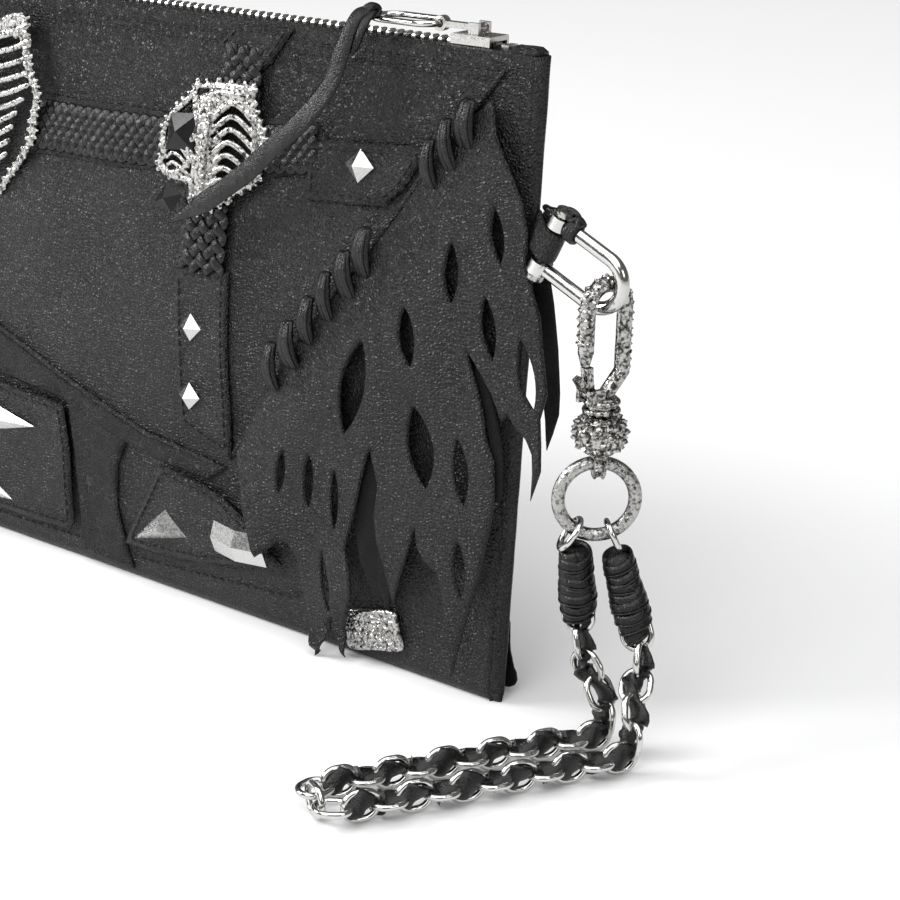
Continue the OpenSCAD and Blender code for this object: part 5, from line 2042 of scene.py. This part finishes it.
@dataclass
class ChainLeather:
    """Cord bindings and the leather woven through the chain, set out from the hanging line."""

    wardrobe: Wardrobe
    hang: Flat = (179.5, -8.0)
    turn: float = -27.0
    step: float = 7.4
    floor: float = 5.05
    bend_y: float = -2.0
    lanes: dict[str, float] = field(default_factory=lambda: {"a": 13.0, "b": 27.0})
    climbs: dict[str, tuple[Point, ...]] = field(
        default_factory=lambda: {
            "a": ((0.02, 0.1, 1), (-0.45, -0.22, 0.86), (-0.55, -0.3, 0.78), (-0.3, 0, 0.95)),
            "b": ((0.02, 0.1, 1), (-0.5, 0.28, 0.82), (-0.6, 0.45, 0.66), (-0.4, 0.3, 0.86)),
        }
    )
    ring_middle: float = 67.5
    ring_radius: float = 10.2
    ring_sides: dict[str, float] = field(default_factory=lambda: {"a": -5.6, "b": 4.3})

    def world(self, p: Sequence[float]) -> Vector:
        """A point of the chain's own frame in the object's frame."""
        return Matrix.Translation(Vector((*self.hang, 0))) @ Matrix.Rotation(
            math.radians(self.turn), 4, "Z"
        ) @ Vector(p)

    def bend(self, strand: str) -> Vector:
        """Where a strand meets the floor."""
        return Vector((self.lanes[strand], self.bend_y, self.floor))

    def joints_up(self, strand: str) -> list[Vector]:
        """Places where the hanging links meet, from the floor to the binding."""
        points = [self.bend(strand)]
        for way in self.climbs[strand]:
            points.append(points[-1] + self.step * Vector(way).normalized())
        return points

    def top(self, strand: str) -> Vector:
        """Where the binding hangs on the ring."""
        r = self.ring_sides[strand]
        a = math.radians(42 - self.turn)
        return Vector(
            (r * math.cos(a), r * math.sin(a), self.ring_middle - math.sqrt(self.ring_radius**2 - r * r))
        )

    def binding(self, strand: str) -> bpy.types.Object:
        """Tight slanting turns of cord, fullest near the middle.

        Args:
            strand: a or b.

        Returns:
            The object.
        """
        top, foot = self.world(self.top(strand)), self.world(self.joints_up(strand)[-1])
        way = foot - top
        axis = way.normalized()
        side = axis.cross(Vector((0, 1, 0))).normalized()
        other = axis.cross(side)
        lace = self.wardrobe.lace

        def radius(f: float) -> float:
            """Radius of the core, fullest near the middle."""
            return 3.3 + 1.15 * math.sin(math.pi * min(1.0, f * 1.02)) ** 0.8 + 0.3 * math.cos(9 * f)

        core = [top.lerp(foot, 0.19 + 0.68 * k / 24) for k in range(25)]
        parts = [
            sweep(
                f"core_{strand}", core, lace, lambda f: radius(f) * rounded_end(f, 0.1, 0.55),
                lambda f: radius(f) * rounded_end(f, 0.1, 0.55), side, 18
            )
        ]
        turns, per = 8, 26
        wound: list[Vector] = []
        for k in range(turns * per + 1):
            f = k / (turns * per)
            a = 2 * math.pi * turns * f + (0.8 if strand == "a" else 2.1)
            r = radius(f) - 0.1 + 0.28 * noise.noise(Vector((f * 30, 1, 2)))
            slant = 1.7 * math.sin(a + 0.9 * math.sin(3.1 * f)) + 1.1 * noise.noise(Vector((a / 2.5, 3, 4)))
            wound.append(
                top.lerp(foot, 0.205 + 0.655 * f) + axis * slant
                + (side * math.cos(a) + other * math.sin(a)) * r
            )
        parts.append(
            sweep(
                f"wound_{strand}", wound, lace, lambda f: 1.6 + 0.3 * math.sin(f * 47),
                lambda f: 0.7 + 0.1 * math.sin(f * 71), axis, 10
            )
        )
        edge = [p + axis * 1.35 for p in wound]
        parts.append(sweep(f"edge_{strand}", edge, lace, lambda f: 0.34, lambda f: 0.95, axis, 6))
        return joined(f"binding_{strand}", parts)

    def woven(
        self, name: str, spots: Sequence[Vector], swing: Sequence[Vector], half: float
    ) -> bpy.types.Object:
        """A creased strip that passes in and out of the links.

        Args:
            name: Name of the strip.
            spots: Middles it passes, in the chain's frame.
            swing: Shift at each of them.
            half: Half its width.

        Returns:
            The object.
        """
        line = smooth_line([s + w for s, w in zip(spots, swing)], 9)
        path = [self.world(p) + Vector((0, 0, 0.35 * noise.noise(p / 3.1))) for p in line]
        count = len(spots)

        def wide(f: float) -> float:
            """Half the strip's width, pinched inside each link."""
            pinch = 0.66 + 0.38 * abs(math.sin(math.pi * f * (count - 1) * 0.5))
            return half * pinch * (
                1 + 0.12 * noise.noise(Vector((f * 37, half, 1)))
            ) * rounded_end(f, 0.03, 0.6)

        def deep(f: float) -> float:
            """Half the strip's thickness, thicker where it is gathered."""
            return (
                0.95 + 0.5 * abs(math.sin(math.pi * f * (count - 1) * 0.5 + 0.6))
            ) * rounded_end(f, 0.03, 0.6)

        def facing(f: float) -> Vector:
            """Which way the strip faces as it turns from link to link."""
            a = math.pi * f * (count - 1) * 0.5 + 0.5 * math.sin(f * 23)
            lean = Vector((math.cos(a) * 0.9, 0.15, 0.55 + 0.45 * math.sin(a)))
            return Matrix.Rotation(math.radians(self.turn), 3, "Z") @ lean

        return sweep(name, path, self.wardrobe.lace, wide, deep, facing, 14)

    def floor_strip(self, strand: str, first: int, count: int, name: str) -> bpy.types.Object:
        """A strip along a run on the floor."""
        bend = self.bend(strand)
        spots, swing = [], []
        for k in range(2 * count + 1):
            d = self.step * (first + k / 2) - (0 if k else 1.5)
            spots.append(bend + Vector((0, -d, 0)))
            sign = 1 if (k // 1) % 4 in (1, 2) else -1
            swing.append(
                Vector((1.5 * sign, 0, 1.05 * sign + 0.1)) if k % 2 else Vector((0.3 * sign, 0, 0.2))
            )
        return self.woven(name, spots, swing, 3.5)

    def hanging_strip(self, strand: str) -> bpy.types.Object:
        """A strip along the hanging links, up into the binding."""
        points = self.joints_up(strand)
        spots, swing = [], []
        for i in range(len(points) - 1):
            spots += [points[i], (points[i] + points[i + 1]) / 2]
            sign = 1 if i % 2 else -1
            swing += [Vector((0.2, 0, 0)), Vector((1.5 * sign, 0.9 * sign, 0))]
        spots.append(points[-1])
        swing.append(Vector((0, 0, 0.5)))
        return self.woven(f"hanging_strip_{strand}", spots, swing, 3.0)

    def build(self) -> None:
        """Builds bindings and strips."""
        for s in ("a", "b"):
            binding = self.binding(s)
            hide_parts(f"leather_wrap_{s}")
            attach(binding, f"binding_{s}")
            hanging = self.hanging_strip(s)
            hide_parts(f"hanging_lace_{s}")
            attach(hanging, f"hanging_{s}")
            bend = self.bend(s)
            run = self.floor_strip(s, 0, 6, f"floor_strip_{s}")
            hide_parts(f"floor_lace_{s}")
            self.world(bend + Vector((0, 1, 0))) * MM
            self.world(bend + Vector((0, -4, 0))) * MM
            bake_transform(run)
            end = self.floor_strip(s, 6, 5, f"end_strip_{s}")
            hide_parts(f"end_lace_{s}")
            middle = bend + Vector((0, -6 * self.step, 0))
            self.world(middle + Vector((0, 1, 0))) * MM
            self.world(middle + Vector((0, -4, 0))) * MM
            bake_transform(end)
        LOG.info("chain leather: two bindings, six strips")


# ---------------------------------------------------------------- metal of the frame, light and camera


def dress_frame(frame: dict, w: Wardrobe) -> None:
    """Gives the metal parts of the frame their finishes.

    Args:
        w: The finishes.
    """
    finishes = {
        "pyramid_studs": w.stud, "plate_studs": w.stud, "black_stones": w.stone, "zip_stops": w.zip_metal,
        "zip_slider": w.zip_metal, "zip_puller": w.zip_metal, "puller_ring": w.chain, "shackle": w.chain,
        "shackle_pin": w.antique, "hook_body": w.antique, "hook_gate": w.antique, "gate_pin": w.antique,
        "swivel_eye": w.antique, "ring": w.brushed, "tip_links": w.chain,
    }
    for part in ("binding", "hanging", "floor", "end"):
        for strand in ("a", "b"):
            finishes[f"{part}_links_{strand}"] = w.chain
    for node, finish in finishes.items():
        obj = frame["nodes"][node]
        obj.data.materials.clear()
        obj.data.materials.append(finish)


@dataclass
class Studio:
    """Pale floor, soft lights and the camera."""

    at: Point = (0.490, -0.4898, 0.2759)
    azimuth: float = 42.0
    pitch: float = 19.0
    lens: float = 91.2
    shift: float = 0.2222

    def floor(self) -> None:
        """A wide pale floor."""
        s = Shader("pale_floor")
        s.link(
            s.ramp(s.speckle(3), [(0.0, (0.86, 0.86, 0.862)), (1.0, (0.88, 0.88, 0.882))]),
            s.bsdf.inputs["Base Color"]
        )
        s.bsdf.inputs["Roughness"].default_value = 0.9
        mesh = bpy.data.meshes.new("floor")
        mesh.from_pydata([(-30, -30, 0), (30, -30, 0), (30, 30, 0), (-30, 30, 0)], [], [(0, 1, 2, 3)])
        mesh.materials.append(s.material)
        obj = bpy.data.objects.new("floor", mesh)
        bpy.context.scene.collection.objects.link(obj)

    def light(self, name: str, at: Point, aim: Point, size: float, power: float) -> None:
        """One soft light.

        Args:
            name: Name of the light.
            at: Its place, in metres.
            aim: The point it faces.
            size: Side of its square.
            power: Watts.
        """
        data = bpy.data.lights.new(name, "AREA")
        data.shape, data.size, data.energy = "SQUARE", size, power
        obj = bpy.data.objects.new(name, data)
        obj.location = at
        obj.rotation_euler = (Vector(aim) - Vector(at)).to_track_quat("-Z", "Y").to_euler()
        bpy.context.scene.collection.objects.link(obj)

    def build(self) -> None:
        """Sets floor, lights, world and camera."""
        self.floor()
        self.light("key", (-0.9, -0.75, 0.75), (0.05, 0, 0.08), 0.55, 16.0)
        self.light("front", (0.35, -1.5, 0.9), (0.05, 0, 0.1), 0.9, 6.0)
        self.light("side", (1.6, -0.3, 0.8), (0.1, 0, 0.08), 0.5, 3.0)
        sky = bpy.data.lights.new("overhead", "SUN")
        sky.energy, sky.angle = 2.55, math.radians(70)
        obj = bpy.data.objects.new("overhead", sky)
        obj.rotation_euler = Vector((-0.12, 0.3, -1)).to_track_quat("-Z", "Y").to_euler()
        bpy.context.scene.collection.objects.link(obj)
        world = bpy.data.worlds.new("soft_room")
        world.use_nodes = True
        background = world.node_tree.nodes["Background"]
        background.inputs["Color"].default_value = (1, 1, 1, 1)
        background.inputs["Strength"].default_value = 0.15
        bpy.context.scene.world = world
        bpy.context.scene.view_settings.view_transform = "Standard"
        data = bpy.data.cameras.new("camera")
        data.lens, data.sensor_width, data.shift_x, data.clip_start = self.lens, 36.0, self.shift, 0.01
        camera = bpy.data.objects.new("camera", data)
        camera.location = self.at
        a, p = math.radians(self.azimuth), math.radians(self.pitch)
        way = Vector((-math.sin(a) * math.cos(p), math.cos(a) * math.cos(p), -math.sin(p)))
        camera.rotation_euler = way.to_track_quat("-Z", "Y").to_euler()
        bpy.context.scene.collection.objects.link(camera)
        bpy.context.scene.camera = camera


def main() -> None:
    """Builds the object in order."""
    logging.basicConfig(level=logging.INFO, format="%(message)s")
    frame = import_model()
    Studio().build()
    wardrobe = Wardrobe.sew()
    SliderThong(wardrobe).build()
    Shell(wardrobe).build()
    Zip(wardrobe).build()
    Trims(wardrobe).build()
    Ornaments(wardrobe).build()
    MakerPlate(wardrobe).build()
    Fringe(wardrobe).build()
    SideTab(wardrobe).build()
    HookTrim(wardrobe).build()
    ChainLeather(wardrobe).build()
    dress_frame(frame, wardrobe)


if __name__ == "__main__":
    main()
